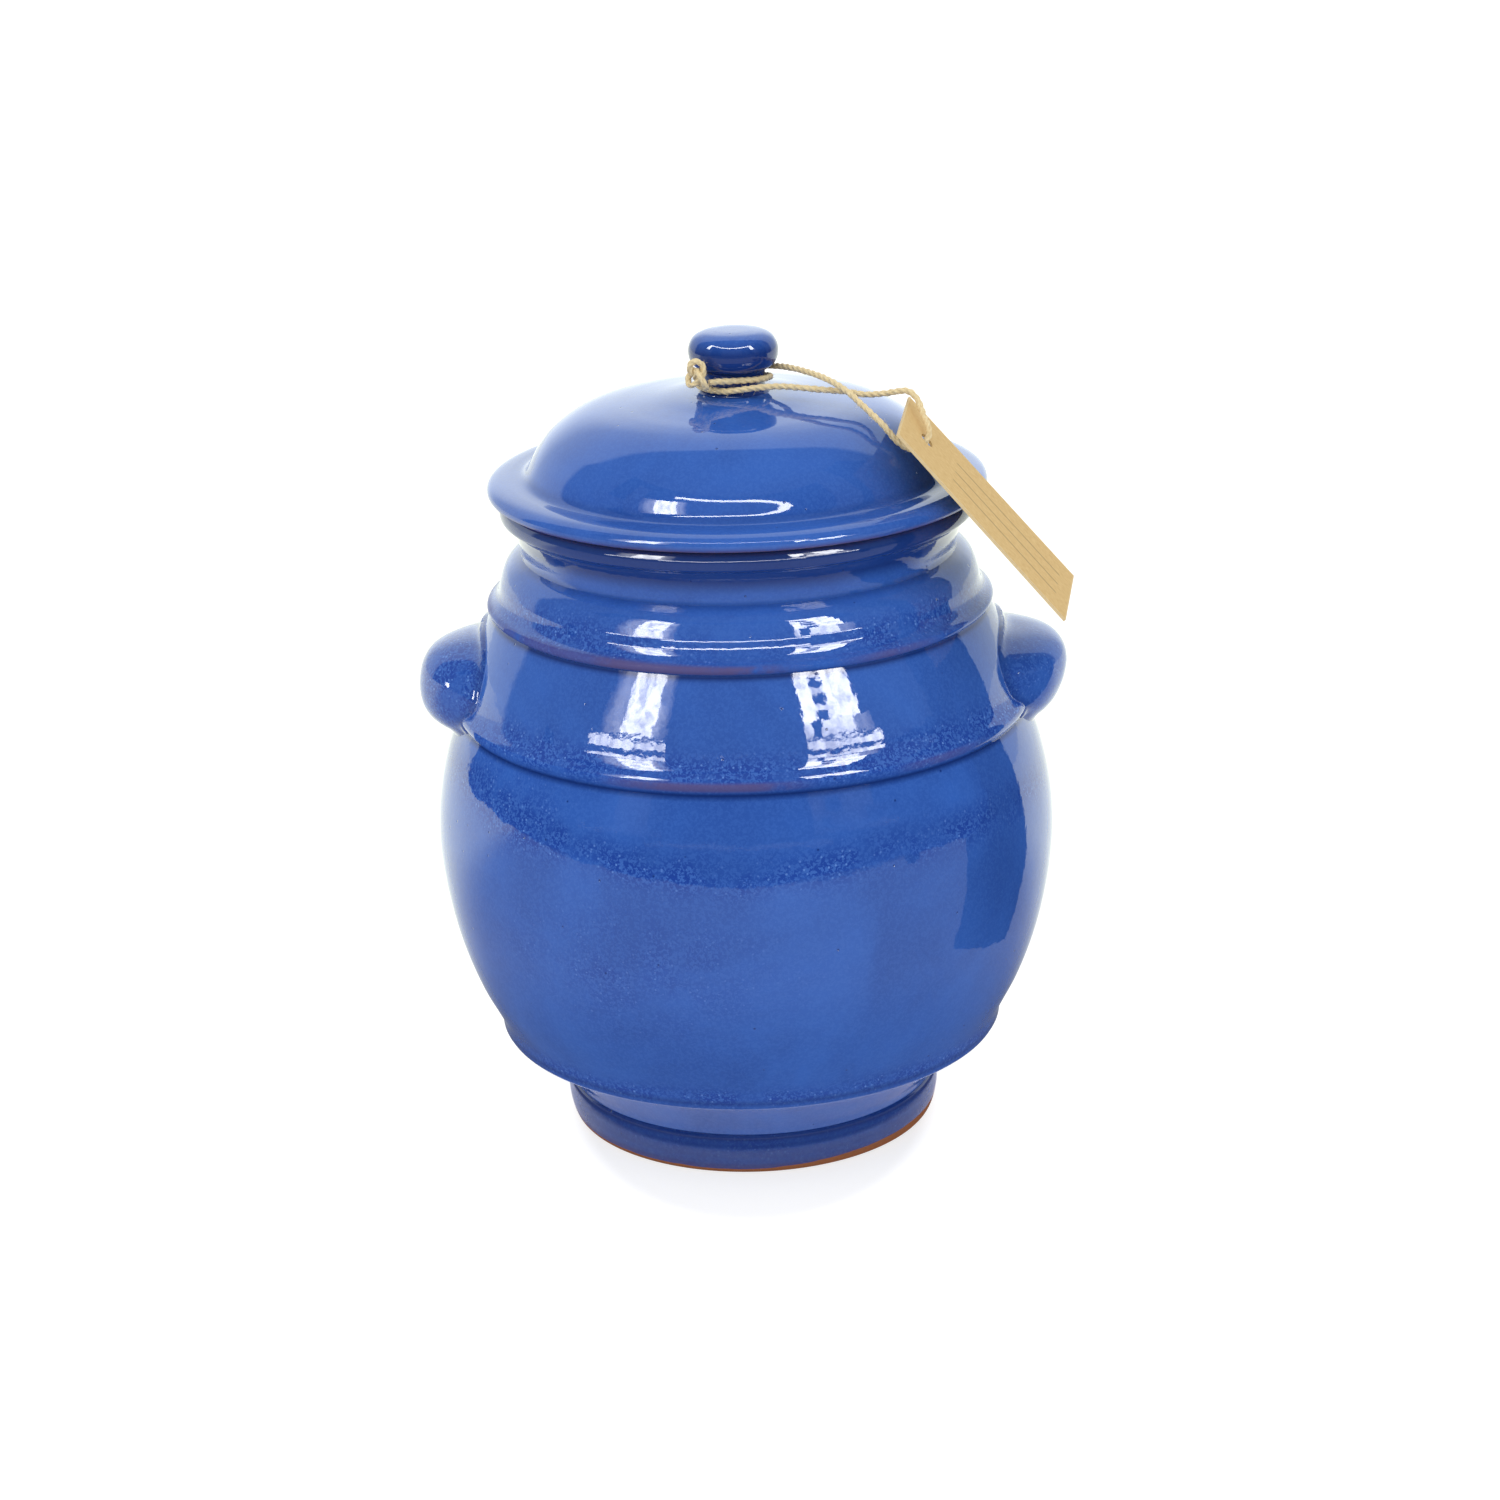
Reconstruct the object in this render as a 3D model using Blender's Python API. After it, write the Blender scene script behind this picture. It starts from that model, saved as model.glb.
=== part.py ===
# Glazed terracotta storage jar with two ear lugs, a domed lid and a tag on a twine loop.
# Metres, +Z up. The origin is the centre of the foot's underside, and -Y is the front.

import math

import bmesh
import bpy
from mathutils import Matrix, Vector

# Gap between two pieces that rest on or meet each other.
GAP = 0.0003

# Points nearer each other than these are one point.
SAME_POINT = 0.00003
SAME_VERT = 0.000003

# Foot
FOOT_INSET = 0.0011
FOOT_HEIGHT = 0.01285
FOOT_BOW = 0.0008
FOOT_RECESS_DEPTH = 0.0025
FOOT_RIM_WIDTH = 0.0105
FOOT_CHAMFER = 0.0008

# Jar outline: how far each station lies in from the one nearer the belly, and above the one below.
BELLY_RADIUS = 0.0941
BELLY_RISE = 0.0579
LOW_RIDGE_INSET = 0.0167
LOW_RIDGE_RISE = 0.0169
WAIST_INSET = 0.0200
WAIST_RISE = 0.0018
MIDDLE_RIDGE_INSET = 0.0080
MIDDLE_RIDGE_RISE = 0.0424
UPPER_RIDGE_INSET = 0.0106
UPPER_RIDGE_RISE = 0.0313
NECK_INSET = 0.0105
NECK_RISE = 0.0172
RIM_FLARE = 0.0058
RIM_RISE = 0.0176
RIM_ROUND = 0.0028
RIM_INNER_ROUND = 0.0015
COLLAR_HEIGHT = 0.0045

# How far each stretch of the outline swells past a straight line between its stations.
UNDERSIDE_BOW = -0.0010
BELLY_LOWER_BOW = 0.0033
BELLY_UPPER_BOW = 0.0028
BAND_BOW = 0.0030
SHOULDER_BOW = 0.0016
COLLAR_BOW = -0.0033

# The thrown ridges overhang the clay below them by a small step.
RIDGE_STEP = 0.0011
RIDGE_LIP = 0.0016

# Jar wall
WALL = 0.0060
LOW_WALL = 0.0095
FLOOR_THICKNESS = 0.0080
INNER_BELLY_LOWER_BOW = 0.0050
INNER_BAND_BOW = 0.0015

# Side lugs: turned pucks, let into the wall between the two upper ridges.
LUG_STAND_OUT = 0.0114
LUG_PLAN_RADIUS = 0.0275
LUG_ABOVE_MIDDLE_RIDGE = 0.0085
LUG_NOSE_HALF = 0.0052
LUG_TOP_REACH = 0.0245
LUG_TOP_EDGE_RISE = 0.0086
LUG_TOP_RISE = 0.0127
LUG_UNDER_REACH = 0.0200
LUG_UNDER_EDGE_DROP = 0.0105
LUG_UNDER_DROP = 0.0135
LUG_NOSE_BOW = 0.0012
LUG_CORNER_BOW = 0.0010
LUG_TOP_BOW = 0.0012
LUG_UNDER_BOW = 0.0012

# Lid
BRIM_OVERHANG = 0.0034
BRIM_THICKNESS = 0.0058
BRIM_ROUND = 0.0026
BRIM_FALL = 0.0011
BRIM_TOP_ANGLE = 80
BRIM_UNDER_ANGLE = -60
DOME_INSET = 0.0114
DOME_LIFT = 0.0011
DOME_RISE = 0.0228
DOME_FOOT_SPREAD = 0.0034
DOME_FILLET_BOW = -0.0006
LID_WALL = 0.0060
LID_HOLLOW_RISE = 0.0190
SKIRT_CLEARANCE = 0.0012
SKIRT_WALL = 0.0045
SKIRT_DROP = 0.0085
SKIRT_CHAMFER = 0.0010
SKIRT_ROOT = 0.0006

# Lid knob
KNOB_NECK_RADIUS = 0.0090
KNOB_NECK_HEIGHT = 0.0059
KNOB_FOOT_FLARE = 0.0012
KNOB_FOOT_RISE = 0.0012
KNOB_RADIUS = 0.0133
KNOB_HEIGHT = 0.0112
KNOB_CROWN = 0.0006
KNOB_ROUND = 0.0052
KNOB_TOP_ANGLE = 84
KNOB_UNDER_ANGLE = -60

# Hang tag: a card with one punched hole, lying with its back on the brim's edge.
TAG_LENGTH = 0.0728
TAG_WIDTH = 0.0340
TAG_THICKNESS = 0.0008
TAG_HOLE_RADIUS = 0.0024
TAG_HOLE_FROM_END = 0.0100
TAG_PAST_REST = 0.0033
TAG_ASIDE = -0.0158
TAG_SLOPE = math.radians(49.6)
TAG_AZIMUTH = math.radians(-13.3)
TAG_TURN = math.radians(6.6)

# Twine and its knot
TWINE_DIAMETER = 0.0019
KNOT_PLACE = (-0.0108, -0.0134, 0.2352)
KNOT_HALF_ACROSS = 0.0042
KNOT_HALF_DEEP = 0.0034
KNOT_HALF_TALL = 0.0046

# Finish: base colour, roughness and metallic value.
GLAZE = ((0.010, 0.055, 0.330, 1.0), 0.10, 0.0)
GLAZE_FOOT = ((0.008, 0.035, 0.220, 1.0), 0.16, 0.0)
KRAFT = ((0.560, 0.360, 0.160, 1.0), 0.85, 0.0)
JUTE = ((0.600, 0.460, 0.260, 1.0), 0.90, 0.0)

# Facets: sides of each turned piece, and steps along an arc.
JAR_SIDES = 48
LUG_SIDES = 40
KNOB_SIDES = 32
KNOT_SIDES = 16
KNOT_RINGS = 10
HOLE_SIDES = 20
SHORT_ARC_STEPS = 2
ARC_STEPS = 4
LONG_ARC_STEPS = 6
DOME_STEPS = 8
HOLLOW_STEPS = 6
DOME_END_SHARE = 0.82
ROUTE_STEPS = 16

# Edges that turn more sharply than this are shaded as edges.
SHARP_ANGLE = math.radians(40)

# Route of the twine, from the knot round the knob's neck, out to the tag's hole and back.
TWINE_ROUTE = [
    (-0.0074, -0.0126, 0.2329),
    (-0.0045, -0.0114, 0.2329),
    (0.0000, -0.0106, 0.2328),
    (0.0074, -0.0076, 0.2324),
    (0.0106, 0.0000, 0.2315),
    (0.0075, 0.0075, 0.2305),
    (0.0000, 0.0106, 0.2300),
    (-0.0075, 0.0075, 0.2298),
    (-0.0106, 0.0000, 0.2297),
    (-0.0079, -0.0071, 0.2297),
    (-0.0020, -0.0106, 0.2298),
    (0.0060, -0.0116, 0.2308),
    (0.0130, -0.0122, 0.2312),
    (0.0200, -0.0129, 0.2307),
    (0.0263, -0.0140, 0.2302),
    (0.0320, -0.0152, 0.2299),
    (0.0380, -0.0168, 0.2292),
    (0.0434, -0.0182, 0.2297),
    (0.0497, -0.0208, 0.2309),
    (0.0526, -0.0223, 0.2288),
    (0.0538, -0.0245, 0.2260),
    (0.0546, -0.0269, 0.2240),
    (0.0553, -0.0293, 0.2224),
    (0.0554, -0.0311, 0.2202),
    (0.0540, -0.0318, 0.2178),
    (0.0518, -0.0317, 0.2164),
    (0.0491, -0.0314, 0.2166),
    (0.0466, -0.0312, 0.2183),
    (0.0447, -0.0309, 0.2204),
    (0.0424, -0.0301, 0.2232),
    (0.0394, -0.0273, 0.2258),
    (0.0360, -0.0238, 0.2285),
    (0.0320, -0.0198, 0.2314),
    (0.0265, -0.0138, 0.2336),
    (0.0200, -0.0062, 0.2344),
    (0.0140, 0.0008, 0.2342),
    (0.0083, 0.0073, 0.2331),
    (0.0000, 0.0108, 0.2328),
    (-0.0078, 0.0078, 0.2327),
    (-0.0109, 0.0012, 0.2327),
    (-0.0111, -0.0050, 0.2330),
    (-0.0110, -0.0093, 0.2336),
]

# Radii of the stations
low_ridge_radius = BELLY_RADIUS - LOW_RIDGE_INSET
waist_radius = low_ridge_radius - WAIST_INSET
foot_radius = waist_radius - FOOT_INSET
middle_ridge_radius = BELLY_RADIUS - MIDDLE_RIDGE_INSET
upper_ridge_radius = middle_ridge_radius - UPPER_RIDGE_INSET
neck_radius = upper_ridge_radius - NECK_INSET
rim_radius = neck_radius + RIM_FLARE

# Heights of the stations above the foot's underside
waist_height = FOOT_HEIGHT + WAIST_RISE
low_ridge_height = waist_height + LOW_RIDGE_RISE
belly_height = low_ridge_height + BELLY_RISE
middle_ridge_height = belly_height + MIDDLE_RIDGE_RISE
upper_ridge_height = middle_ridge_height + UPPER_RIDGE_RISE
neck_height = upper_ridge_height + NECK_RISE
rim_height = neck_height + RIM_RISE
floor_height = FOOT_HEIGHT + FLOOR_THICKNESS

mouth_radius = neck_radius - WALL

# Places on the lid
brim_underside = rim_height + GAP
brim_radius = rim_radius + BRIM_OVERHANG
brim_top = brim_underside + BRIM_THICKNESS
dome_radius = brim_radius - DOME_INSET
dome_height = brim_top + DOME_LIFT
apex_height = dome_height + DOME_RISE
skirt_radius = mouth_radius - SKIRT_CLEARANCE
hollow_radius = skirt_radius - SKIRT_WALL
hollow_top = apex_height - LID_WALL
knob_seat_radius = KNOB_NECK_RADIUS + KNOB_FOOT_FLARE
knob_underside = apex_height + GAP


def remove_all_objects():
    for item in list(bpy.data.objects):
        bpy.data.objects.remove(item, do_unlink=True)


def make_material(name, finish):
    colour, roughness, metallic = finish
    material = bpy.data.materials.new(name)
    material.use_nodes = True
    shader = material.node_tree.nodes["Principled BSDF"]
    shader.inputs["Base Color"].default_value = colour
    shader.inputs["Roughness"].default_value = roughness
    shader.inputs["Metallic"].default_value = metallic
    material.diffuse_color = colour
    return material


def link_object(name, data, material):
    item = bpy.data.objects.new(name, data)
    bpy.context.scene.collection.objects.link(item)
    if material is not None:
        data.materials.append(material)
    return item


def bowed(start, end, bow, steps=ARC_STEPS):
    """Points along an arc between two (radius, height) points, its middle bowed outwards by bow."""
    chord = Vector(end) - Vector(start)
    half = chord.length / 2
    if bow == 0:
        return [tuple(start), tuple(end)]
    side = Vector((-chord.y, chord.x)).normalized()
    if side.x < 0:
        side = -side
    depth = abs(bow)
    radius = (half * half + depth * depth) / (2 * depth)
    if bow < 0:
        side = -side
    centre = (Vector(start) + Vector(end)) / 2 - side * (radius - depth)
    reach = math.asin(min(1, half / radius))
    along = chord.normalized()
    points = []
    for step in range(steps + 1):
        angle = -reach + 2 * reach * step / steps
        points.append(tuple(centre + side * radius * math.cos(angle) + along * radius * math.sin(angle)))
    return points


def quarter_round(centre, radius, first, last, steps=ARC_STEPS):
    """Points round a centre, from one angle to another, in degrees from straight out."""
    points = []
    for step in range(steps + 1):
        angle = math.radians(first + (last - first) * step / steps)
        points.append((centre[0] + radius * math.cos(angle), centre[1] + radius * math.sin(angle)))
    return points


def jar_outer_outline():
    """The jar's outside, from the rim down to the foot."""
    rim_centre = (rim_radius - RIM_ROUND, rim_height - RIM_ROUND)
    collar_foot = (rim_radius, rim_height - COLLAR_HEIGHT)
    neck = (neck_radius, neck_height)
    upper = (upper_ridge_radius, upper_ridge_height)
    upper_step = (upper_ridge_radius - RIDGE_STEP, upper_ridge_height - RIDGE_LIP)
    middle = (middle_ridge_radius, middle_ridge_height)
    middle_step = (middle_ridge_radius - RIDGE_STEP, middle_ridge_height - RIDGE_LIP)
    belly = (BELLY_RADIUS, belly_height)
    low = (low_ridge_radius, low_ridge_height)
    low_step = (low_ridge_radius - RIDGE_STEP, low_ridge_height - RIDGE_LIP)
    waist = (waist_radius, waist_height)
    points = quarter_round(rim_centre, RIM_ROUND, 90, 0)
    points += bowed(collar_foot, neck, COLLAR_BOW)
    points += bowed(neck, upper, SHOULDER_BOW)
    points += bowed(upper_step, middle, BAND_BOW)
    points += bowed(middle_step, belly, BELLY_UPPER_BOW, LONG_ARC_STEPS)
    points += bowed(belly, low, BELLY_LOWER_BOW, LONG_ARC_STEPS)
    points += bowed(low_step, waist, UNDERSIDE_BOW)
    points.append((waist_radius, FOOT_HEIGHT + GAP))
    return without_repeats(points)


def jar_inner_outline():
    """The jar's inside, from the floor up to the mouth."""
    floor_corner = (waist_radius - WALL, floor_height)
    low = (low_ridge_radius - LOW_WALL, low_ridge_height)
    belly = (BELLY_RADIUS - WALL, belly_height)
    middle = (middle_ridge_radius - WALL - RIDGE_STEP, middle_ridge_height)
    upper = (upper_ridge_radius - WALL - RIDGE_STEP, upper_ridge_height)
    neck = (mouth_radius, neck_height)
    round_centre = (mouth_radius + RIM_INNER_ROUND, rim_height - RIM_INNER_ROUND)
    points = [floor_corner]
    points += bowed(low, belly, INNER_BELLY_LOWER_BOW)
    points += bowed(belly, middle, BELLY_UPPER_BOW)
    points += bowed(middle, upper, INNER_BAND_BOW, SHORT_ARC_STEPS)
    points.append(neck)
    points += quarter_round(round_centre, RIM_INNER_ROUND, 180, 90, SHORT_ARC_STEPS)
    return without_repeats(points)


def without_repeats(points):
    kept = [points[0]]
    for point in points[1:]:
        if (Vector(point) - Vector(kept[-1])).length > SAME_POINT:
            kept.append(point)
    return kept


def turned_mesh(name, outline, sides, centre=(0.0, 0.0)):
    """Spin a list of (radius, height) points round an upright axis. Ends on the axis close up."""
    work = bmesh.new()
    axis_point = Vector((centre[0], centre[1], 0.0))
    verts = [work.verts.new(axis_point + Vector((r, 0.0, z))) for r, z in outline]
    edges = [work.edges.new(pair) for pair in zip(verts, verts[1:])]
    bmesh.ops.spin(work, geom=verts + edges, cent=axis_point, axis=(0.0, 0.0, 1.0),
                   angle=2 * math.pi, steps=sides, use_merge=True)
    bmesh.ops.remove_doubles(work, verts=work.verts, dist=SAME_VERT)
    bmesh.ops.recalc_face_normals(work, faces=work.faces)
    mesh = bpy.data.meshes.new(name)
    work.to_mesh(mesh)
    work.free()
    mesh.shade_smooth()
    mesh.set_sharp_from_angle(angle=SHARP_ANGLE)
    return mesh


def make_jar_body(material):
    outline = [(0.0, FOOT_HEIGHT + GAP)]
    outline += list(reversed(jar_outer_outline()))
    outline += list(reversed(jar_inner_outline()))
    outline.append((0.0, floor_height))
    return link_object("jar_body", turned_mesh("jar_body", outline, JAR_SIDES), material)


def make_foot_ring(material):
    recess_radius = foot_radius - FOOT_RIM_WIDTH
    side_top = (waist_radius, FOOT_HEIGHT)
    side_foot = (foot_radius, FOOT_CHAMFER)
    outline = [(0.0, FOOT_HEIGHT)]
    outline += bowed(side_top, side_foot, FOOT_BOW)
    outline.append((foot_radius - FOOT_CHAMFER, 0.0))
    outline.append((recess_radius, 0.0))
    outline.append((recess_radius - FOOT_RECESS_DEPTH, FOOT_RECESS_DEPTH))
    outline.append((0.0, FOOT_RECESS_DEPTH))
    return link_object("foot_ring", turned_mesh("foot_ring", outline, JAR_SIDES), material)


def make_wall_cutter():
    """The jar's outside, grown by the gap and solid right through, to cut the lugs' backs."""
    outline = [(0.0, rim_height)]
    outline += [(r + GAP, z) for r, z in jar_outer_outline()]
    outline.append((0.0, FOOT_HEIGHT))
    cutter = link_object("wall_cutter", turned_mesh("wall_cutter", outline, JAR_SIDES), None)
    cutter.hide_render = True
    cutter.display_type = "WIRE"
    return cutter


def lug_outline():
    """The lug's edge, from its top on the puck's axis, round its nose, to its underside."""
    middle = middle_ridge_height + LUG_ABOVE_MIDDLE_RIDGE
    nose_top = (LUG_PLAN_RADIUS, middle + LUG_NOSE_HALF)
    nose_foot = (LUG_PLAN_RADIUS, middle - LUG_NOSE_HALF)
    top = (LUG_TOP_REACH, middle + LUG_TOP_EDGE_RISE)
    under = (LUG_UNDER_REACH, middle - LUG_UNDER_EDGE_DROP)
    points = bowed((0.0, middle + LUG_TOP_RISE), top, LUG_TOP_BOW)
    points += bowed(top, nose_top, LUG_CORNER_BOW)
    points += bowed(nose_top, nose_foot, LUG_NOSE_BOW)
    points += bowed(nose_foot, under, LUG_CORNER_BOW)
    points += bowed(under, (0.0, middle - LUG_UNDER_DROP), LUG_UNDER_BOW)
    return without_repeats(points)


def make_lug(name, side, cutter, material):
    lug_axis = middle_ridge_radius + LUG_STAND_OUT - LUG_PLAN_RADIUS
    mesh = turned_mesh(name, lug_outline(), LUG_SIDES, (side * lug_axis, 0.0))
    lug = link_object(name, mesh, material)
    cut = lug.modifiers.new("wall_cut", "BOOLEAN")
    cut.operation = "DIFFERENCE"
    cut.object = cutter
    return lug


def dome_points(radius, base, rise, first_radius, end_share, steps):
    """Points down a quarter ellipse, from first_radius to end_share of its quarter turn."""
    first = math.asin(min(1, first_radius / radius))
    last = end_share * math.pi / 2
    points = []
    for step in range(steps + 1):
        angle = first + (last - first) * step / steps
        points.append((radius * math.sin(angle), base + rise * math.cos(angle)))
    return points


def make_lid(material):
    brim_centre = (brim_radius - BRIM_ROUND, brim_top - BRIM_FALL - BRIM_ROUND)
    dome_foot = (dome_radius + DOME_FOOT_SPREAD, brim_top)
    outline = [(0.0, apex_height), (knob_seat_radius, apex_height)]
    dome = dome_points(dome_radius, dome_height, DOME_RISE, knob_seat_radius, DOME_END_SHARE, DOME_STEPS)
    outline += dome[1:]
    outline += bowed(dome[-1], dome_foot, DOME_FILLET_BOW)[1:]
    outline += quarter_round(brim_centre, BRIM_ROUND, BRIM_TOP_ANGLE, BRIM_UNDER_ANGLE)
    outline.append((brim_radius - 2 * BRIM_ROUND, brim_underside))
    outline.append((skirt_radius, brim_underside))
    skirt_foot = brim_underside - SKIRT_DROP
    outline.append((skirt_radius - SKIRT_ROOT, skirt_foot + SKIRT_CHAMFER))
    outline.append((skirt_radius - SKIRT_CHAMFER, skirt_foot))
    outline.append((hollow_radius, skirt_foot))
    hollow_base = hollow_top - LID_HOLLOW_RISE
    hollow = dome_points(hollow_radius, hollow_base, LID_HOLLOW_RISE, 0.0, 1.0, HOLLOW_STEPS)
    outline += list(reversed(hollow))
    return link_object("lid", turned_mesh("lid", without_repeats(outline), JAR_SIDES), material)


def make_lid_knob(material):
    neck_top = knob_underside + KNOB_NECK_HEIGHT
    top = neck_top + KNOB_HEIGHT
    shoulder = KNOB_RADIUS - KNOB_ROUND
    outline = [(0.0, top + KNOB_CROWN)]
    outline += quarter_round((shoulder, top - KNOB_ROUND), KNOB_ROUND, KNOB_TOP_ANGLE, 0)
    outline += quarter_round((shoulder, neck_top + KNOB_ROUND), KNOB_ROUND, 0, KNOB_UNDER_ANGLE)
    outline.append((KNOB_NECK_RADIUS, neck_top))
    outline.append((KNOB_NECK_RADIUS, knob_underside + KNOB_FOOT_RISE))
    outline.append((knob_seat_radius, knob_underside))
    outline.append((0.0, knob_underside))
    return link_object("lid_knob", turned_mesh("lid_knob", outline, KNOB_SIDES), material)


def smooth_route(route, step):
    """Read evenly spaced points from a Catmull-Rom curve through the route's points."""
    knots = [Vector(point) for point in route]
    knots = [2 * knots[0] - knots[1]] + knots + [2 * knots[-1] - knots[-2]]
    fine = []
    for p0, p1, p2, p3 in zip(knots, knots[1:], knots[2:], knots[3:]):
        for index in range(ROUTE_STEPS):
            t = index / ROUTE_STEPS
            fine.append(0.5 * (2 * p1 + (p2 - p0) * t + (2 * p0 - 5 * p1 + 4 * p2 - p3) * t ** 2
                               + (3 * p1 - p0 - 3 * p2 + p3) * t ** 3))
    fine.append(knots[-2])
    travelled = [0.0]
    for first, second in zip(fine, fine[1:]):
        travelled.append(travelled[-1] + (second - first).length)
    count = max(2, round(travelled[-1] / step))
    points = []
    place = 0
    for index in range(count + 1):
        wanted = travelled[-1] * index / count
        while place < len(fine) - 2 and travelled[place + 1] < wanted:
            place += 1
        share = (wanted - travelled[place]) / (travelled[place + 1] - travelled[place])
        points.append(fine[place].lerp(fine[place + 1], share))
    return points


def make_twine_loop(material):
    points = smooth_route(TWINE_ROUTE, 2 * TWINE_DIAMETER)
    curve = bpy.data.curves.new("twine_loop", "CURVE")
    curve.dimensions = "3D"
    curve.bevel_depth = TWINE_DIAMETER / 2
    curve.bevel_resolution = 2
    curve.use_fill_caps = True
    spline = curve.splines.new("POLY")
    spline.points.add(len(points) - 1)
    for target, point in zip(spline.points, points):
        target.co = (*point, 1.0)
    return link_object("twine_loop", curve, material)


def make_twine_knot(material):
    work = bmesh.new()
    bmesh.ops.create_uvsphere(work, u_segments=KNOT_SIDES, v_segments=KNOT_RINGS, radius=1.0)
    bearing = math.atan2(KNOT_PLACE[1], KNOT_PLACE[0])
    shape = Matrix.Diagonal((KNOT_HALF_DEEP, KNOT_HALF_ACROSS, KNOT_HALF_TALL, 1.0))
    bmesh.ops.transform(work, matrix=Matrix.Rotation(bearing, 4, "Z") @ shape, verts=work.verts)
    bmesh.ops.translate(work, vec=KNOT_PLACE, verts=work.verts)
    mesh = bpy.data.meshes.new("twine_knot")
    work.to_mesh(mesh)
    work.free()
    mesh.shade_smooth()
    return link_object("twine_knot", mesh, material)


def tag_frame():
    """The card's own axes: down its length, across it, and out of its face."""
    slope = Matrix.Rotation(TAG_SLOPE, 3, "Y")
    facing = Matrix.Rotation(TAG_AZIMUTH, 3, "Z")
    turn = Matrix.Rotation(TAG_TURN, 3, "Z")
    return facing @ slope @ turn


def tag_hole_place():
    """The hole's centre, from where the card's back rests on the brim's rounded edge."""
    axes = tag_frame()
    outwards = axes.col[2]
    heading = Vector((outwards.x, outwards.y, 0.0)).normalized()
    round_centre = heading * (brim_radius - BRIM_ROUND)
    round_centre.z = brim_top - BRIM_FALL - BRIM_ROUND
    rest = round_centre + outwards * (BRIM_ROUND + GAP + TAG_THICKNESS / 2)
    middle = rest + axes.col[0] * TAG_PAST_REST + axes.col[1] * TAG_ASIDE
    return middle - axes.col[0] * (TAG_LENGTH / 2 - TAG_HOLE_FROM_END)


def make_hang_tag(material):
    work = bmesh.new()
    bmesh.ops.create_cube(work, size=1.0)
    bmesh.ops.scale(work, vec=(TAG_LENGTH, TAG_WIDTH, TAG_THICKNESS), verts=work.verts)
    bmesh.ops.translate(work, vec=(TAG_LENGTH / 2 - TAG_HOLE_FROM_END, 0.0, 0.0), verts=work.verts)
    mesh = bpy.data.meshes.new("hang_tag")
    work.to_mesh(mesh)
    work.free()
    tag = link_object("hang_tag", mesh, material)
    tag.matrix_world = Matrix.Translation(tag_hole_place()) @ tag_frame().to_4x4()

    punch_work = bmesh.new()
    bmesh.ops.create_cone(punch_work, cap_ends=True, segments=HOLE_SIDES, radius1=TAG_HOLE_RADIUS,
                          radius2=TAG_HOLE_RADIUS, depth=4 * TAG_THICKNESS)
    punch_mesh = bpy.data.meshes.new("tag_punch")
    punch_work.to_mesh(punch_mesh)
    punch_work.free()
    punch = link_object("tag_punch", punch_mesh, None)
    punch.matrix_world = tag.matrix_world.copy()
    punch.hide_render = True
    punch.display_type = "WIRE"
    cut = tag.modifiers.new("hole", "BOOLEAN")
    cut.operation = "DIFFERENCE"
    cut.object = punch
    return tag


def main():
    remove_all_objects()
    glaze = make_material("glaze", GLAZE)
    glaze_foot = make_material("glaze_foot", GLAZE_FOOT)
    kraft = make_material("kraft", KRAFT)
    jute = make_material("jute", JUTE)
    make_jar_body(glaze)
    make_foot_ring(glaze_foot)
    cutter = make_wall_cutter()
    make_lug("left_lug", -1, cutter, glaze)
    make_lug("right_lug", 1, cutter, glaze)
    make_lid(glaze)
    make_lid_knob(glaze)
    make_twine_loop(jute)
    make_twine_knot(jute)
    make_hang_tag(kraft)
    bpy.context.view_layer.update()


main()
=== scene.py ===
# A storage jar in glossy cobalt glaze: ridged pot, ear lugs, knobbed lid, and a card tag on jute twine.
# Run it in Blender 4.5. Lengths are metres unless a note says millimetres. +Z is up and -Y is the front.

import math

import bmesh
import bpy
from mathutils import Matrix, Vector, noise


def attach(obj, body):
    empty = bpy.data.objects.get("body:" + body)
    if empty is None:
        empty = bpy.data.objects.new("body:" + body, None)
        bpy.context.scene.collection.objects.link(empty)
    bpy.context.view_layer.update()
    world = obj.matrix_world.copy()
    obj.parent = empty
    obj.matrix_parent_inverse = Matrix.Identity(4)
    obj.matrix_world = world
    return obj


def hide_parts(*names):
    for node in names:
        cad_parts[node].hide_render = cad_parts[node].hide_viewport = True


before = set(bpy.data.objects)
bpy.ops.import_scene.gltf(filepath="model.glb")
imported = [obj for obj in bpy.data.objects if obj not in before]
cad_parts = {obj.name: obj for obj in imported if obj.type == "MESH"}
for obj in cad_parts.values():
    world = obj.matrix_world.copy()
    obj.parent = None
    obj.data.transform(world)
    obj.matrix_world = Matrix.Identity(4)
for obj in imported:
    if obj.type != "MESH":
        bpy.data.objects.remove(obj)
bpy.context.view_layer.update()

mm = 0.001


# Camera: a short telephoto a metre away, looking down on the jar's front.
cameraValues = {
    "lens": 82.25,
    "sensor": 36.0,
    "clip": (0.02, 60.0),
    "distance": 1.0469,
    "elevation": 19.2,  # degrees above the horizon
    "roll": -1.55,  # degrees
    "aim": (0.0017, 0.0, 0.1152),
}


def linkObject(name, data):
    item = bpy.data.objects.new(name, data)
    bpy.context.scene.collection.objects.link(item)
    return item


def makeCamera(values):
    data = bpy.data.cameras.new("photoCamera")
    data.lens = values["lens"]
    data.sensor_width = values["sensor"]
    data.clip_start, data.clip_end = values["clip"]
    camera = linkObject("photoCamera", data)
    tilt = math.radians(values["elevation"])
    aim = Vector(values["aim"])
    place = aim + values["distance"] * Vector((0.0, -math.cos(tilt), math.sin(tilt)))
    lookDown = Matrix.Rotation(math.pi / 2 - tilt, 4, "X")
    roll = Matrix.Rotation(math.radians(values["roll"]), 4, "Z")
    camera.matrix_world = Matrix.Translation(place) @ lookDown @ roll
    bpy.context.scene.camera = camera


makeCamera(cameraValues)
print("camera placed")


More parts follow.
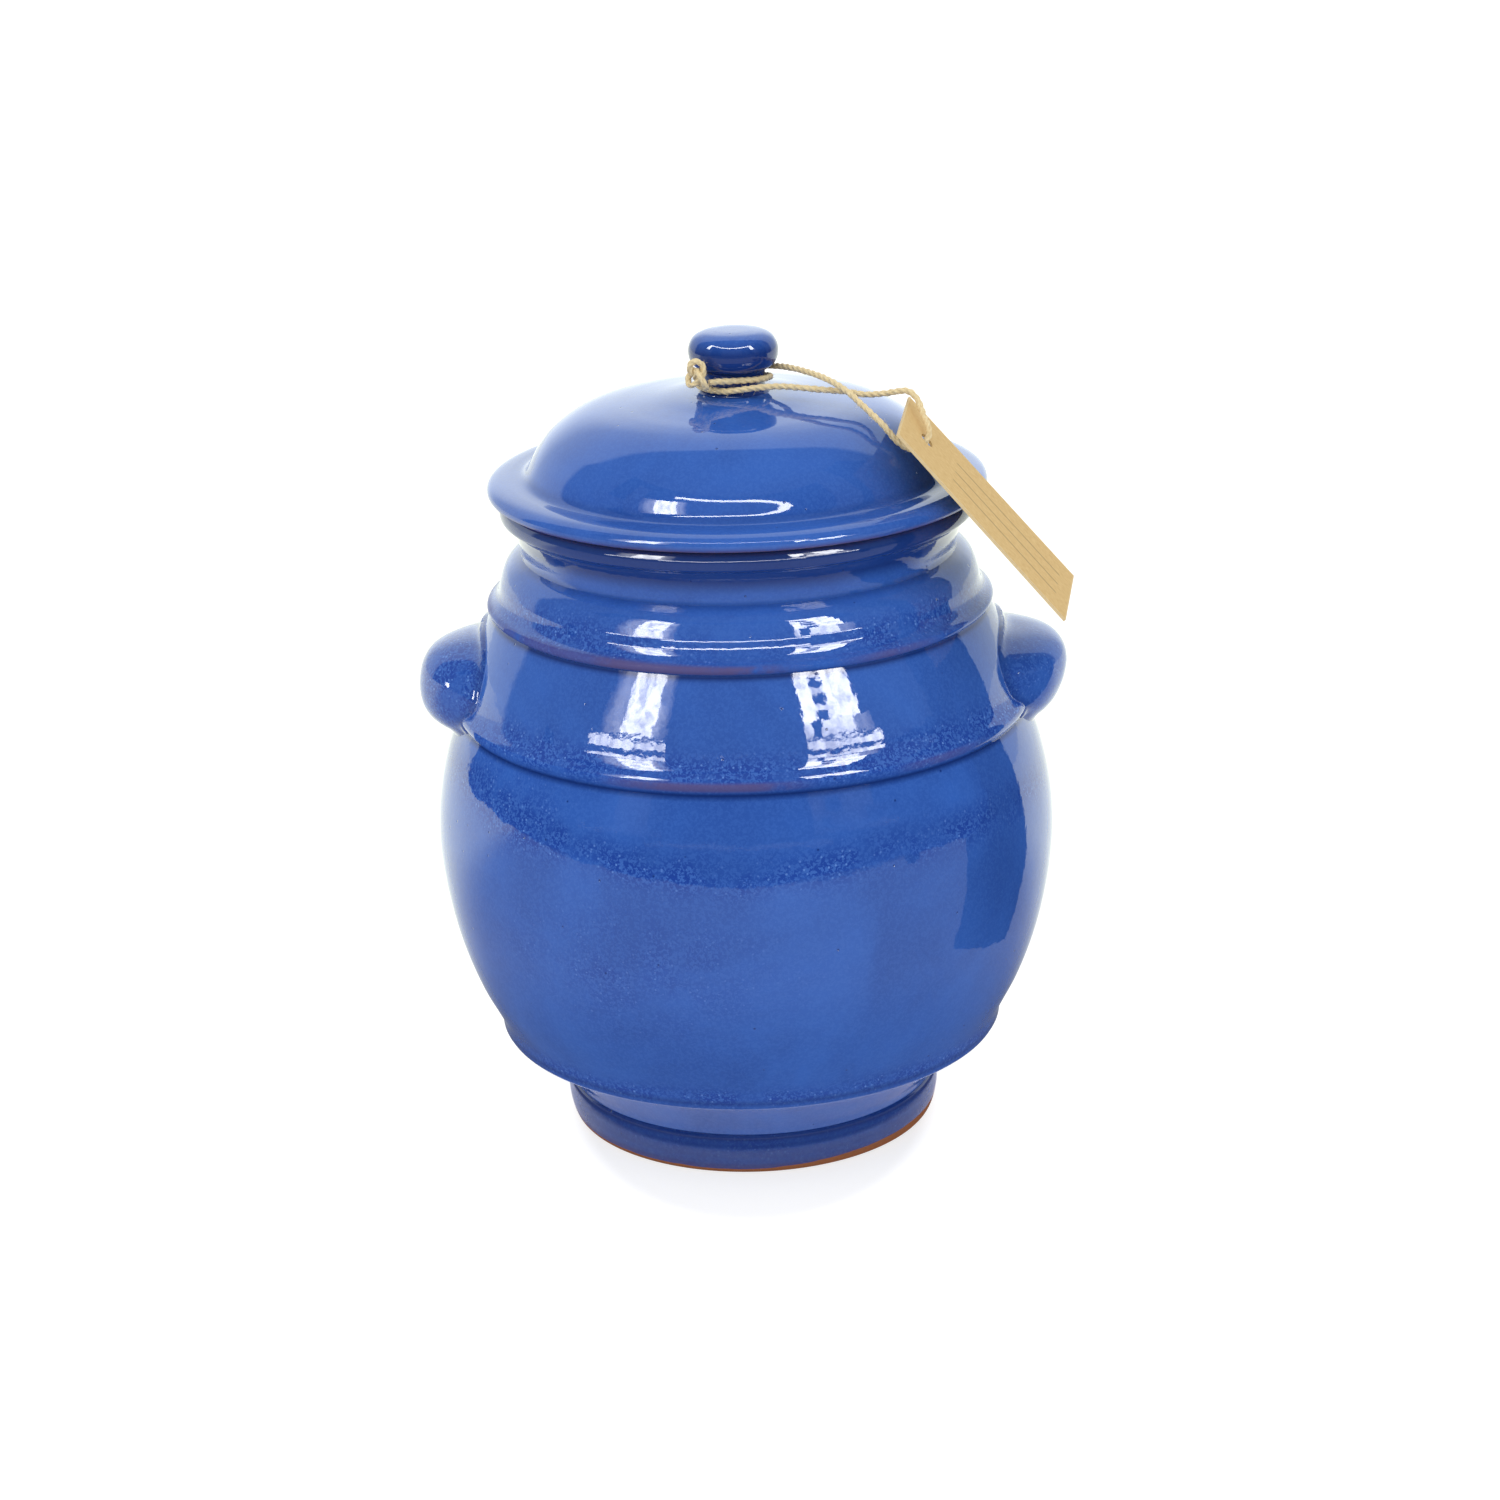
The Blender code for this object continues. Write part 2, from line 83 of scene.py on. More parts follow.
# Node helpers: every material below is made of Blender's own texture nodes.
def newMaterial(name):
    material = bpy.data.materials.new(name)
    material.use_nodes = True
    tree = material.node_tree
    return material, tree, tree.nodes["Principled BSDF"]


def addNode(tree, kind, inputs=None, **settings):
    node = tree.nodes.new(kind)
    for key, value in settings.items():
        setattr(node, key, value)
    for key, value in (inputs or {}).items():
        socket = node.inputs[key]
        if isinstance(value, bpy.types.NodeSocket):
            tree.links.new(value, socket)
        else:
            socket.default_value = value
    return node


def mathNode(tree, operation, first, second=0.0, clamp=False):
    node = addNode(tree, "ShaderNodeMath", {0: first, 1: second}, operation=operation, use_clamp=clamp)
    return node.outputs[0]


def times(tree, first, second, clamp=False):
    return mathNode(tree, "MULTIPLY", first, second, clamp)


# runs smoothly from toLow to toHigh while the value goes from low to high
def rampNode(tree, value, low, high, toLow=0.0, toHigh=1.0):
    node = addNode(tree, "ShaderNodeMapRange", {"Value": value, "From Min": low, "From Max": high,
                                                "To Min": toLow, "To Max": toHigh},
                   interpolation_type="SMOOTHSTEP")
    return node.outputs["Result"]


def mixColour(tree, factor, first, second):
    node = addNode(tree, "ShaderNodeMix", data_type="RGBA")
    for index, value in ((0, factor), (6, first), (7, second)):
        if isinstance(value, bpy.types.NodeSocket):
            tree.links.new(value, node.inputs[index])
        else:
            node.inputs[index].default_value = value
    return node.outputs[2]


def noiseNode(tree, vector, scale, detail=3.0, roughness=0.55, distortion=0.0):
    node = addNode(tree, "ShaderNodeTexNoise", {"Vector": vector, "Scale": scale, "Detail": detail,
                                                "Roughness": roughness, "Distortion": distortion})
    return node.outputs["Fac"]


def attributeNode(tree, name):
    return addNode(tree, "ShaderNodeAttribute", attribute_name=name).outputs["Fac"]


def objectPlace(tree):
    return addNode(tree, "ShaderNodeTexCoord").outputs["Object"]


def scaledCoordinates(tree, source, scale):
    return addNode(tree, "ShaderNodeMapping", {"Vector": source, "Scale": scale}).outputs["Vector"]


def lengthNode(tree, vector):
    return addNode(tree, "ShaderNodeVectorMath", {0: vector}, operation="LENGTH").outputs["Value"]


def bumpNode(tree, height, depth, strength=1.0, under=None):
    inputs = {"Height": height, "Distance": depth, "Strength": strength}
    if under is not None:
        inputs["Normal"] = under
    return addNode(tree, "ShaderNodeBump", inputs).outputs["Normal"]


# round spots in some cells of a scattered grid; size and choice are ramps
def spotsNode(tree, place, scale, size, choice, channel):
    cells = addNode(tree, "ShaderNodeTexVoronoi", {"Vector": place, "Scale": scale, "Randomness": 1.0},
                    feature="F1")
    chance = addNode(tree, "ShaderNodeSeparateColor", {"Color": cells.outputs["Color"]}).outputs[channel]
    return times(tree, rampNode(tree, cells.outputs["Distance"], *size), rampNode(tree, chance, *choice))


def noiseRamp(tree, place, noiseSettings, span):
    return rampNode(tree, noiseNode(tree, place, *noiseSettings), *span)


# a painted mark whose edge is shaken by noise and then cut
def raggedMark(tree, place, name, shake, amount, cut):
    shaken = times(tree, noiseNode(tree, place, *shake), amount)
    return rampNode(tree, mathNode(tree, "ADD", attributeNode(tree, name), shaken), *cut)


# Outline helpers: a turned outline is a chain of smooth runs of (radius, height) points in millimetres.
# Runs meet at their shared end point, and that corner stays sharp.
def knotGap(first, second):
    return max(1e-6, math.dist(first, second)) ** 0.5


# a point between p1 and p2 on a centripetal curve, which never overshoots a tight bend
def blendPoint(p0, p1, p2, p3, share):
    t1 = knotGap(p0, p1)
    t2 = t1 + knotGap(p1, p2)
    t3 = t2 + knotGap(p2, p3)
    t = t1 + (t2 - t1) * share
    a1 = p0.lerp(p1, t / t1)
    a2 = p1.lerp(p2, (t - t1) / (t2 - t1))
    a3 = p2.lerp(p3, (t - t2) / (t3 - t2))
    b1 = a1.lerp(a2, t / t2)
    b2 = a2.lerp(a3, (t - t1) / (t3 - t1))
    return b1.lerp(b2, (t - t1) / (t2 - t1))


def outlineOf(runs, spacings):
    outline = []
    for run, spacing in zip(runs, spacings):
        points = [Vector(point) for point in run]
        points = [2 * points[0] - points[1]] + points + [2 * points[-1] - points[-2]]
        for p0, p1, p2, p3 in zip(points, points[1:], points[2:], points[3:]):
            count = max(1, math.ceil((p2 - p1).length / spacing))
            outline += [blendPoint(p0, p1, p2, p3, step / count) for step in range(count)]
    outline.append(Vector(runs[-1][-1]))
    return [(point.x * mm, point.y * mm) for point in outline]


# spin an outline of (radius, height) round an upright axis
def spunShape(outline, sides, axisX=0.0, weld=1e-6):
    shape = bmesh.new()
    verts = [shape.verts.new((axisX + r, 0.0, z)) for r, z in outline]
    edges = [shape.edges.new(pair) for pair in zip(verts, verts[1:])]
    bmesh.ops.spin(shape, geom=verts + edges, cent=(axisX, 0.0, 0.0), axis=(0.0, 0.0, 1.0),
                   angle=2 * math.pi, steps=sides, use_merge=True)
    bmesh.ops.remove_doubles(shape, verts=shape.verts, dist=weld)
    bmesh.ops.recalc_face_normals(shape, faces=shape.faces)
    return shape


# hold for a piece that stays true below a height
def heldBelow(height):
    return lambda co: 1.0 if co.z > height else 0.0


# push the clay in and out a little, as fingers leave it; hold(co) is 0 where it stays true
def handThrown(shape, amount, seed, hold, roundScale=1.1, upScale=22.0, finer=2.7, finerShare=0.35):
    for vert in shape.verts:
        flat = Vector((vert.co.x, vert.co.y, 0.0))
        if flat.length < 1e-4:
            continue
        out = flat.normalized()
        sample = Vector((out.x * roundScale, out.y * roundScale, vert.co.z * upScale + seed))
        push = noise.noise(sample) + finerShare * noise.noise(sample * finer + Vector((5.0, 1.0, 0.0)))
        vert.co += out * push * amount * hold(vert.co)


# a smooth-shaded object at the origin, sharp where faces meet at more than the angle
def finishPiece(name, shape, material, sharp=50.0):
    mesh = bpy.data.meshes.new(name)
    shape.to_mesh(mesh)
    shape.free()
    mesh.shade_smooth()
    mesh.set_sharp_from_angle(angle=math.radians(sharp))
    mesh.materials.append(material)
    return linkObject(name, mesh)


def bell(value, centre, width):
    return math.exp(-((value - centre) / width) ** 2)


# 1 between low and high, fading to 0 over the soft width inside each end
def plateau(value, low, high, soft):
    return max(0.0, min(1.0, (value - low) / soft, (high - value) / soft))


# store how strongly each mark shows at each vertex; a mark that isn't given stays at nothing
def paintMarks(piece, **marks):
    mesh = piece.data
    for name in ("mottle", "pool", "thin", "bare", "matt"):
        layer = mesh.attributes.new(name, "FLOAT", "POINT")
        if name in marks:
            for index, vert in enumerate(mesh.vertices):
                layer.data[index].value = marks[name](vert.co)


# Glaze: a thick cobalt gloss over red clay. Base tones are linear colours. A noise is (scale, detail,
# roughness, distortion), and next to it is the range where its mark sets in and the shares it runs between.
glazeValues = {
    "deep": (0.030, 0.098, 0.405, 1.0),
    "body": (0.041, 0.140, 0.535, 1.0),
    "light": (0.068, 0.190, 0.600, 1.0),
    "spark": (0.125, 0.270, 0.700, 1.0),
    "shade": (0.011, 0.040, 0.305, 1.0),
    "pool": (0.005, 0.021, 0.145, 1.0),
    "breaking": (0.112, 0.090, 0.225, 1.0),
    "clay": (0.430, 0.165, 0.075, 1.0),
    "clayDark": (0.344, 0.132, 0.060, 1.0),
    "clouds": ((20.0, 4.0, 0.6, 0.6), (0.30, 0.74)),
    "blotches": (1050.0, 2.0, 0.6, 0.8),  # just under a millimetre across
    "grainRange": (0.42, 0.62, 0.0, 0.22),
    "paleRange": (0.47, 0.57, 0.0, 0.65),
    "patches": ((85.0, 4.0, 0.65), (0.34, 0.60, 0.35, 1.35)),
    "shadeShare": 0.66,
    "sparks": (1000.0, (0.46, 0.20), (0.86, 0.90), "Red"),  # one cell in eight holds a spark
    "poolShare": 0.85,
    "breaks": ((70.0, 4.0, 0.65), (0.26, 0.50)),
    "breakShare": 0.9,
    "breakDulls": 0.85,
    "bareEdge": ((160.0, 3.0, 0.55), 0.5, (0.70, 0.82)),
    "mattEdge": ((130.0, 5.0, 0.7), 0.62, (0.78, 0.84, 0.0, 0.985)),
    "clayGrain": ((1400.0, 4.0, 0.7), (0.25, 0.75)),
    "pits": (170.0, (0.080, 0.035), (0.62, 0.64), "Green"),
    "pitShare": 0.7,
    "pitDepth": 0.0001,
    "peel": (210.0, 2.0, 0.5),
    "peelDepth": 0.000045,
    "fine": (900.0, 2.0, 0.5),
    "fineDepth": 0.000006,
    "underRoughness": 0.6,
    "coatRoughness": 0.035,
    "coatIOR": 1.56,
}


def makeGlaze(name, values, offset=(0.0, 0.0, 0.0)):
    material, tree, shader = newMaterial(name)
    moved = addNode(tree, "ShaderNodeMapping", {"Vector": objectPlace(tree), "Location": offset})
    place = moved.outputs["Vector"]

    # slow pigment clouds under a faint grain
    colour = mixColour(tree, noiseRamp(tree, place, *values["clouds"]), values["deep"], values["body"])
    blotches = noiseNode(tree, place, *values["blotches"])
    colour = mixColour(tree, rampNode(tree, blotches, *values["grainRange"]), colour, values["light"])

    # where the glaze ran thin it breaks into pale blotches on a darker ground, with a few bright sparks
    patches = noiseRamp(tree, place, *values["patches"])
    mottled = times(tree, attributeNode(tree, "mottle"), patches, clamp=True)
    colour = mixColour(tree, times(tree, mottled, values["shadeShare"]), colour, values["shade"])
    paleHere = times(tree, rampNode(tree, blotches, *values["paleRange"]), mottled)
    colour = mixColour(tree, paleHere, colour, values["light"])
    sparks = times(tree, spotsNode(tree, place, *values["sparks"]), mottled)
    colour = mixColour(tree, sparks, colour, values["spark"])

    # darker in the creases and wherever a piece lays painted shade, brown clay through the thin glass on the
    # ridges
    pooling = times(tree, attributeNode(tree, "pool"), values["poolShare"])
    colour = mixColour(tree, pooling, colour, values["pool"])
    thin = times(tree, attributeNode(tree, "thin"), noiseRamp(tree, place, *values["breaks"]))
    colour = mixColour(tree, times(tree, thin, values["breakShare"]), colour, values["breaking"])

    # unglazed clay with its own grain
    bareHere = raggedMark(tree, place, "bare", *values["bareEdge"])
    clay = mixColour(tree, noiseRamp(tree, place, *values["clayGrain"]), values["clayDark"], values["clay"])
    colour = mixColour(tree, bareHere, colour, clay)

    # pinholes, here and there
    pits = spotsNode(tree, place, *values["pits"])
    colour = mixColour(tree, times(tree, pits, values["pitShare"]), colour, values["pool"])
    tree.links.new(colour, shader.inputs["Base Color"])

    # the clear coat carries all the gloss, and stops where the clay is bare or the glaze is matt
    shader.inputs["Roughness"].default_value = values["underRoughness"]
    shader.inputs["Specular IOR Level"].default_value = 0.0
    shader.inputs["Coat Roughness"].default_value = values["coatRoughness"]
    shader.inputs["Coat IOR"].default_value = values["coatIOR"]
    dull = mathNode(tree, "MAXIMUM", bareHere, raggedMark(tree, place, "matt", *values["mattEdge"]))
    dull = mathNode(tree, "MAXIMUM", dull, times(tree, thin, values["breakDulls"]))
    tree.links.new(mathNode(tree, "SUBTRACT", 1.0, dull, clamp=True), shader.inputs["Coat Weight"])
    normal = bumpNode(tree, noiseNode(tree, place, *values["peel"]), values["peelDepth"])
    normal = bumpNode(tree, noiseNode(tree, place, *values["fine"]), values["fineDepth"], under=normal)
    normal = bumpNode(tree, mathNode(tree, "SUBTRACT", 1.0, pits), values["pitDepth"], under=normal)
    tree.links.new(normal, shader.inputs["Normal"])
    tree.links.new(normal, shader.inputs["Coat Normal"])
    return material


potGlaze = makeGlaze("cobaltGlaze", glazeValues)
lidGlazeValues = dict(glazeValues, peelDepth=0.000014, fineDepth=0.0000025)
lidGlaze = makeGlaze("cobaltGlazeLid", lidGlazeValues, (0.31, 0.17, 0.05))
print("glaze mixed")


# Twine: one strand from the knot, twice round the knob's neck, out to the tag's hole and back.
twineValues = {
    "diameter": 0.0019,
    "plies": 3,
    "plyOffset": 0.42,
    "plyRadius": 0.58,  # shares of the strand's radius
    "twistPitch": 0.0068,
    "ringSpacing": 0.00028,
    "sides": 24,
    "fuzz": 0.10,
    "fuzzScales": (1400.0, 260.0),
    "uvPerMetre": 100.0,
    "sharp": 60.0,  # degrees
    "hairs": 620,
    "hairLength": 0.0019,
    "hairShortest": 0.35,  # share of the full length
    "hairRadius": 0.00004,
    "hairTip": 0.2,  # share of the fibre's own radius
    "hairRoot": 0.80,  # share of the strand's radius
    "hairLean": 2.4,
    "hairLift": (0.22, 0.72),
}

# The route's own points, in metres, chosen where the twine bends or lies on something.
twineRoute = [
    (-0.0074, -0.0126, 0.2329), (-0.0045, -0.0114, 0.2329), (0.0000, -0.0106, 0.2328),
    (0.0074, -0.0076, 0.2324), (0.0106, 0.0000, 0.2315), (0.0075, 0.0075, 0.2305),
    (0.0000, 0.0106, 0.2300), (-0.0075, 0.0075, 0.2298), (-0.0106, 0.0000, 0.2297),
    (-0.0079, -0.0071, 0.2297), (-0.0020, -0.0106, 0.2298), (0.0060, -0.0116, 0.2308),
    (0.0130, -0.0122, 0.2312), (0.0200, -0.0129, 0.2307), (0.0263, -0.0140, 0.2302),
    (0.0320, -0.0152, 0.2299), (0.0380, -0.0168, 0.2292), (0.0434, -0.0182, 0.2297),
    (0.0497, -0.0208, 0.2309), (0.0526, -0.0223, 0.2288), (0.0538, -0.0245, 0.2260),
    (0.0546, -0.0269, 0.2240), (0.0553, -0.0293, 0.2224), (0.0554, -0.0311, 0.2202),
    (0.0540, -0.0318, 0.2178), (0.0518, -0.0317, 0.2164), (0.0491, -0.0314, 0.2166),
    (0.0466, -0.0312, 0.2183), (0.0447, -0.0309, 0.2204), (0.0424, -0.0301, 0.2232),
    (0.0394, -0.0273, 0.2258), (0.0360, -0.0238, 0.2285), (0.0320, -0.0198, 0.2314),
    (0.0265, -0.0138, 0.2336), (0.0200, -0.0062, 0.2344), (0.0140, 0.0008, 0.2342),
    (0.0083, 0.0073, 0.2331), (0.0000, 0.0108, 0.2328), (-0.0078, 0.0078, 0.2327),
    (-0.0109, 0.0012, 0.2327), (-0.0111, -0.0050, 0.2330), (-0.0110, -0.0093, 0.2336),
]


# evenly spaced points on a Catmull-Rom curve through the route's own points
def smoothRoute(route, step):
    knots = [Vector(point) for point in route]
    knots = [2 * knots[0] - knots[1]] + knots + [2 * knots[-1] - knots[-2]]
    fine = []
    steps = 16
    for p0, p1, p2, p3 in zip(knots, knots[1:], knots[2:], knots[3:]):
        for index in range(steps):
            t = index / steps
            fine.append(0.5 * (2 * p1 + (p2 - p0) * t + (2 * p0 - 5 * p1 + 4 * p2 - p3) * t ** 2
                               + (3 * p1 - p0 - 3 * p2 + p3) * t ** 3))
    fine.append(knots[-2])
    travelled = [0.0]
    for first, second in zip(fine, fine[1:]):
        travelled.append(travelled[-1] + (second - first).length)
    count = max(2, round(travelled[-1] / step))
    points = []
    place = 0
    for index in range(count + 1):
        wanted = travelled[-1] * index / count
        while place < len(fine) - 2 and travelled[place + 1] < wanted:
            place += 1
        share = (wanted - travelled[place]) / (travelled[place + 1] - travelled[place])
        points.append(fine[place].lerp(fine[place + 1], share))
    return points


# a side and an upper direction at each point, turned along the route without spinning
def routeFrames(points):
    ways = []
    for index in range(len(points)):
        before, after = points[max(0, index - 1)], points[min(len(points) - 1, index + 1)]
        ways.append((after - before).normalized())
    side = ways[0].orthogonal().normalized()
    frames = []
    for way in ways:
        side = (side - way * side.dot(way)).normalized()
        frames.append((side, way.cross(side)))
    return frames


# how far the strand's surface is from its line: plies lie side by side, twisted
def strandRadius(values, around, along):
    sector = 2 * math.pi / values["plies"]
    turned = around - 2 * math.pi * along / values["twistPitch"]
    fromPly = (turned + sector / 2) % sector - sector / 2
    offset, radius = values["plyOffset"], values["plyRadius"]
    lobed = offset * math.cos(fromPly) + math.sqrt(radius ** 2 - (offset * math.sin(fromPly)) ** 2)
    return lobed * values["diameter"] / 2


# a straight strand spun from its side line, then lobed, fuzzed and bent along the points
def makeStrand(points, values):
    frames = routeFrames(points)
    length = sum((b - a).length for a, b in zip(points, points[1:]))
    last = len(points) - 1
    sideLine = [(1.0, float(index)) for index in range(last + 1)]
    shape = spunShape([(0.0, 0.0)] + sideLine + [(0.0, float(last))], values["sides"], weld=1e-4)
    fineScale, coarseScale = values["fuzzScales"]
    layer = shape.loops.layers.uv.new("strand")
    for face in shape.faces:
        middle = face.calc_center_median()
        base = math.atan2(middle.y, middle.x)
        for loop in face.loops:
            co = loop.vert.co
            turn = math.atan2(co.y, co.x) - base if co.xy.length > 0.5 else 0.0
            turn = (turn + math.pi) % (2 * math.pi) - math.pi
            loop[layer].uv = ((base + turn) / (2 * math.pi), co.z / last * length * values["uvPerMetre"])
    for vert in shape.verts:
        index = min(last, max(0, round(vert.co.z)))
        along = length * index / last
        around = math.atan2(vert.co.y, vert.co.x)
        reach = strandRadius(values, around, along) if vert.co.xy.length > 0.5 else 0.0
        fine = noise.noise(Vector((math.cos(around), math.sin(around), along * fineScale)))
        reach *= 1.0 + values["fuzz"] * (fine + noise.noise(Vector((along * coarseScale, 0.0, 4.0))))
        side, upper = frames[index]
        vert.co = points[index] + side * reach * math.cos(around) + upper * reach * math.sin(around)
    return shape


# loose jute fibres: thin three-sided spikes that lean along the strand, two random triples for each
def addHairs(shape, points, values, count, seed):
    frames = routeFrames(points)
    layer = shape.loops.layers.uv.verify()
    for number in range(count):
        pick = noise.cell_vector(Vector((number * 1.37 + seed, 7.1, 3.3)))
        other = noise.cell_vector(Vector((number * 2.11 + seed, 1.9, 8.7)))
        index = int(abs(pick.x) * (len(points) - 3)) + 1
        around = 2 * math.pi * abs(pick.y)
        side, upper = frames[index]
        way = (points[index + 1] - points[index]).normalized()
        out = side * math.cos(around) + upper * math.sin(around)
        leastLift, mostLift = values["hairLift"]
        lift = leastLift + (mostLift - leastLift) * abs(other.y)
        lean = (way * values["hairLean"] * (abs(other.x) - 0.5) + out * lift).normalized()
        shortest = values["hairShortest"]
        reach = values["hairLength"] * (shortest + (1.0 - shortest) * abs(other.z))
        middle = points[index] + out * values["hairRoot"] * values["diameter"] / 2 + lean * reach / 2
        stand = Matrix.Translation(middle) @ lean.to_track_quat("Z", "Y").to_matrix().to_4x4()
        thick = values["hairRadius"]
        spike = bmesh.ops.create_cone(shape, cap_ends=True, segments=3, radius1=thick,
                                      radius2=thick * values["hairTip"], depth=reach, matrix=stand)
        for vert in spike["verts"]:
            for loop in vert.link_loops:
                loop[layer].uv = (abs(pick.z), abs(other.z) * 3.0)


juteValues = {
    "pale": (0.930, 0.800, 0.500, 1.0),
    "straw": (0.780, 0.600, 0.315, 1.0),
    "dark": (0.330, 0.220, 0.100, 1.0),
    "stretch": (26.0, 7.0, 1.0),
    "fibres": (1.0, 5.0, 0.65, 0.4),
    "paleRange": (0.30, 0.70),
    "darkRange": (0.40, 0.28),
    "fibreDepth": 0.00008,
    "patches": ((330.0, 3.0, 0.6), (0.52, 0.80, 0.0, 0.4)),
    "roughness": 0.85,
    "sheen": 0.25,
    "sheenRoughness": 0.5,
    "shine": 0.25,
}


def makeJute(values):
    material, tree, shader = newMaterial("juteTwine")
    strand = addNode(tree, "ShaderNodeUVMap", uv_map="strand").outputs["UV"]
    fibres = noiseNode(tree, scaledCoordinates(tree, strand, values["stretch"]), *values["fibres"])
    patches = noiseRamp(tree, objectPlace(tree), *values["patches"])
    colour = mixColour(tree, rampNode(tree, fibres, *values["paleRange"]), values["straw"], values["pale"])
    colour = mixColour(tree, rampNode(tree, fibres, *values["darkRange"]), colour, values["dark"])
    colour = mixColour(tree, patches, colour, values["straw"])
    tree.links.new(colour, shader.inputs["Base Color"])
    shader.inputs["Roughness"].default_value = values["roughness"]
    shader.inputs["Sheen Weight"].default_value = values["sheen"]
    shader.inputs["Sheen Roughness"].default_value = values["sheenRoughness"]
    shader.inputs["Specular IOR Level"].default_value = values["shine"]
    tree.links.new(bumpNode(tree, fibres, values["fibreDepth"]), shader.inputs["Normal"])
    return material


jute = makeJute(juteValues)
twinePath = smoothRoute(twineRoute, twineValues["ringSpacing"])
twineShape = makeStrand(twinePath, twineValues)
addHairs(twineShape, twinePath, twineValues, twineValues["hairs"], 0.0)
twine = finishPiece("jute_twine", twineShape, jute, twineValues["sharp"])
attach(twine, "twine")
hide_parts("twine_loop")


# Knot: the same twine tied in an overhand knot, its two short ends frayed.
knotValues = {
    "centre": (-0.0108, -0.0134, 0.2352),
    "across": 0.00118,  # size of the knot's trefoil, in metres for one unit
    "deep": 0.00118,
    "tall": 0.00150,
    "turn": 24.0,  # degrees the knot leans
    "open": 0.02,  # share of the way round left open at either end
    "points": 150,
    "hairs": 160,
}


# a closed-looking overhand knot: a trefoil run nearly all the way round
def knotRoute(values):
    bearing = math.atan2(values["centre"][1], values["centre"][0])
    stand = Matrix.Rotation(bearing, 3, "Z") @ Matrix.Rotation(math.pi / 2, 3, "Y")
    lean = stand @ Matrix.Rotation(math.radians(values["turn"]), 3, "Z")
    points = []
    for index in range(values["points"] + 1):
        t = 2 * math.pi * (values["open"] + (1 - 2 * values["open"]) * index / values["points"])
        flat = Vector((values["tall"] * (math.sin(t) + 2 * math.sin(2 * t)),
                       values["across"] * (math.cos(t) - 2 * math.cos(2 * t)),
                       values["deep"] * -math.sin(3 * t)))
        points.append(Vector(values["centre"]) + lean @ flat)
    return points


knotPath = knotRoute(knotValues)
knotShape = makeStrand(knotPath, twineValues)
addHairs(knotShape, knotPath, twineValues, knotValues["hairs"], 40.0)
knot = finishPiece("twine_knot_tied", knotShape, jute, twineValues["sharp"])
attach(knot, "twine")
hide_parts("twine_knot")
print("knot tied")


# Tag: a plain kraft card with one punched hole, slightly twisted, with blank writing lines.
tagValues = {
    "length": 0.0728,
    "width": 0.0340,
    "thickness": 0.0008,
    "hole": (0.05458, -0.03176, 0.21858),
    "holeRadius": 0.0024,
    "holeFromEnd": 0.0100,
    "slope": 49.6,  # degrees
    "azimuth": -13.3,
    "turn": 6.6,
    "twist": 0.00021,  # how far the card's corners leave a flat plane
    "lengthSteps": 64,
    "widthSteps": 30,
    "sharp": 35.0,
}


def tagMatrix(values):
    slope = Matrix.Rotation(math.radians(values["slope"]), 4, "Y")
    facing = Matrix.Rotation(math.radians(values["azimuth"]), 4, "Z")
    turn = Matrix.Rotation(math.radians(values["turn"]), 4, "Z")
    return Matrix.Translation(values["hole"]) @ facing @ slope @ turn


# a grid of card, punched, thickened, then twisted a little and placed
def makeTag(values, material):
    length, width, thick = values["length"], values["width"], values["thickness"]
    shape = bmesh.new()
    bmesh.ops.create_grid(shape, x_segments=values["lengthSteps"], y_segments=values["widthSteps"], size=0.5)
    bmesh.ops.scale(shape, vec=(length, width, 1.0), verts=shape.verts)
    bmesh.ops.translate(shape, vec=(length / 2 - values["holeFromEnd"], 0.0, 0.0), verts=shape.verts)
    inside = [face for face in shape.faces
              if face.calc_center_median().xy.length < values["holeRadius"]]
    bmesh.ops.delete(shape, geom=inside, context="FACES")
    rim = {vert for edge in shape.edges if edge.is_boundary for vert in edge.verts
           if vert.co.xy.length < 2 * values["holeRadius"]}
    for vert in rim:
        vert.co.xy = vert.co.xy.normalized() * values["holeRadius"]
    layer = shape.loops.layers.uv.new("card")
    for face in shape.faces:
        for loop in face.loops:
            co = loop.vert.co
            loop[layer].uv = ((co.x + values["holeFromEnd"]) / length, co.y / width + 0.5)
    bmesh.ops.solidify(shape, geom=shape.faces[:], thickness=thick)
    bmesh.ops.translate(shape, vec=(0.0, 0.0, thick / 2), verts=shape.verts)
    middle = sum(vert.co.z for vert in shape.verts) / len(shape.verts)
    bmesh.ops.translate(shape, vec=(0.0, 0.0, -middle), verts=shape.verts)
    for vert in shape.verts:
        across = vert.co.y / (width / 2)
        along = (vert.co.x - (length / 2 - values["holeFromEnd"])) / (length / 2)
        vert.co.z += values["twist"] * along * across
    bmesh.ops.recalc_face_normals(shape, faces=shape.faces)
    bmesh.ops.transform(shape, matrix=tagMatrix(values), verts=shape.verts)
    return finishPiece("kraft_tag", shape, material, values["sharp"])


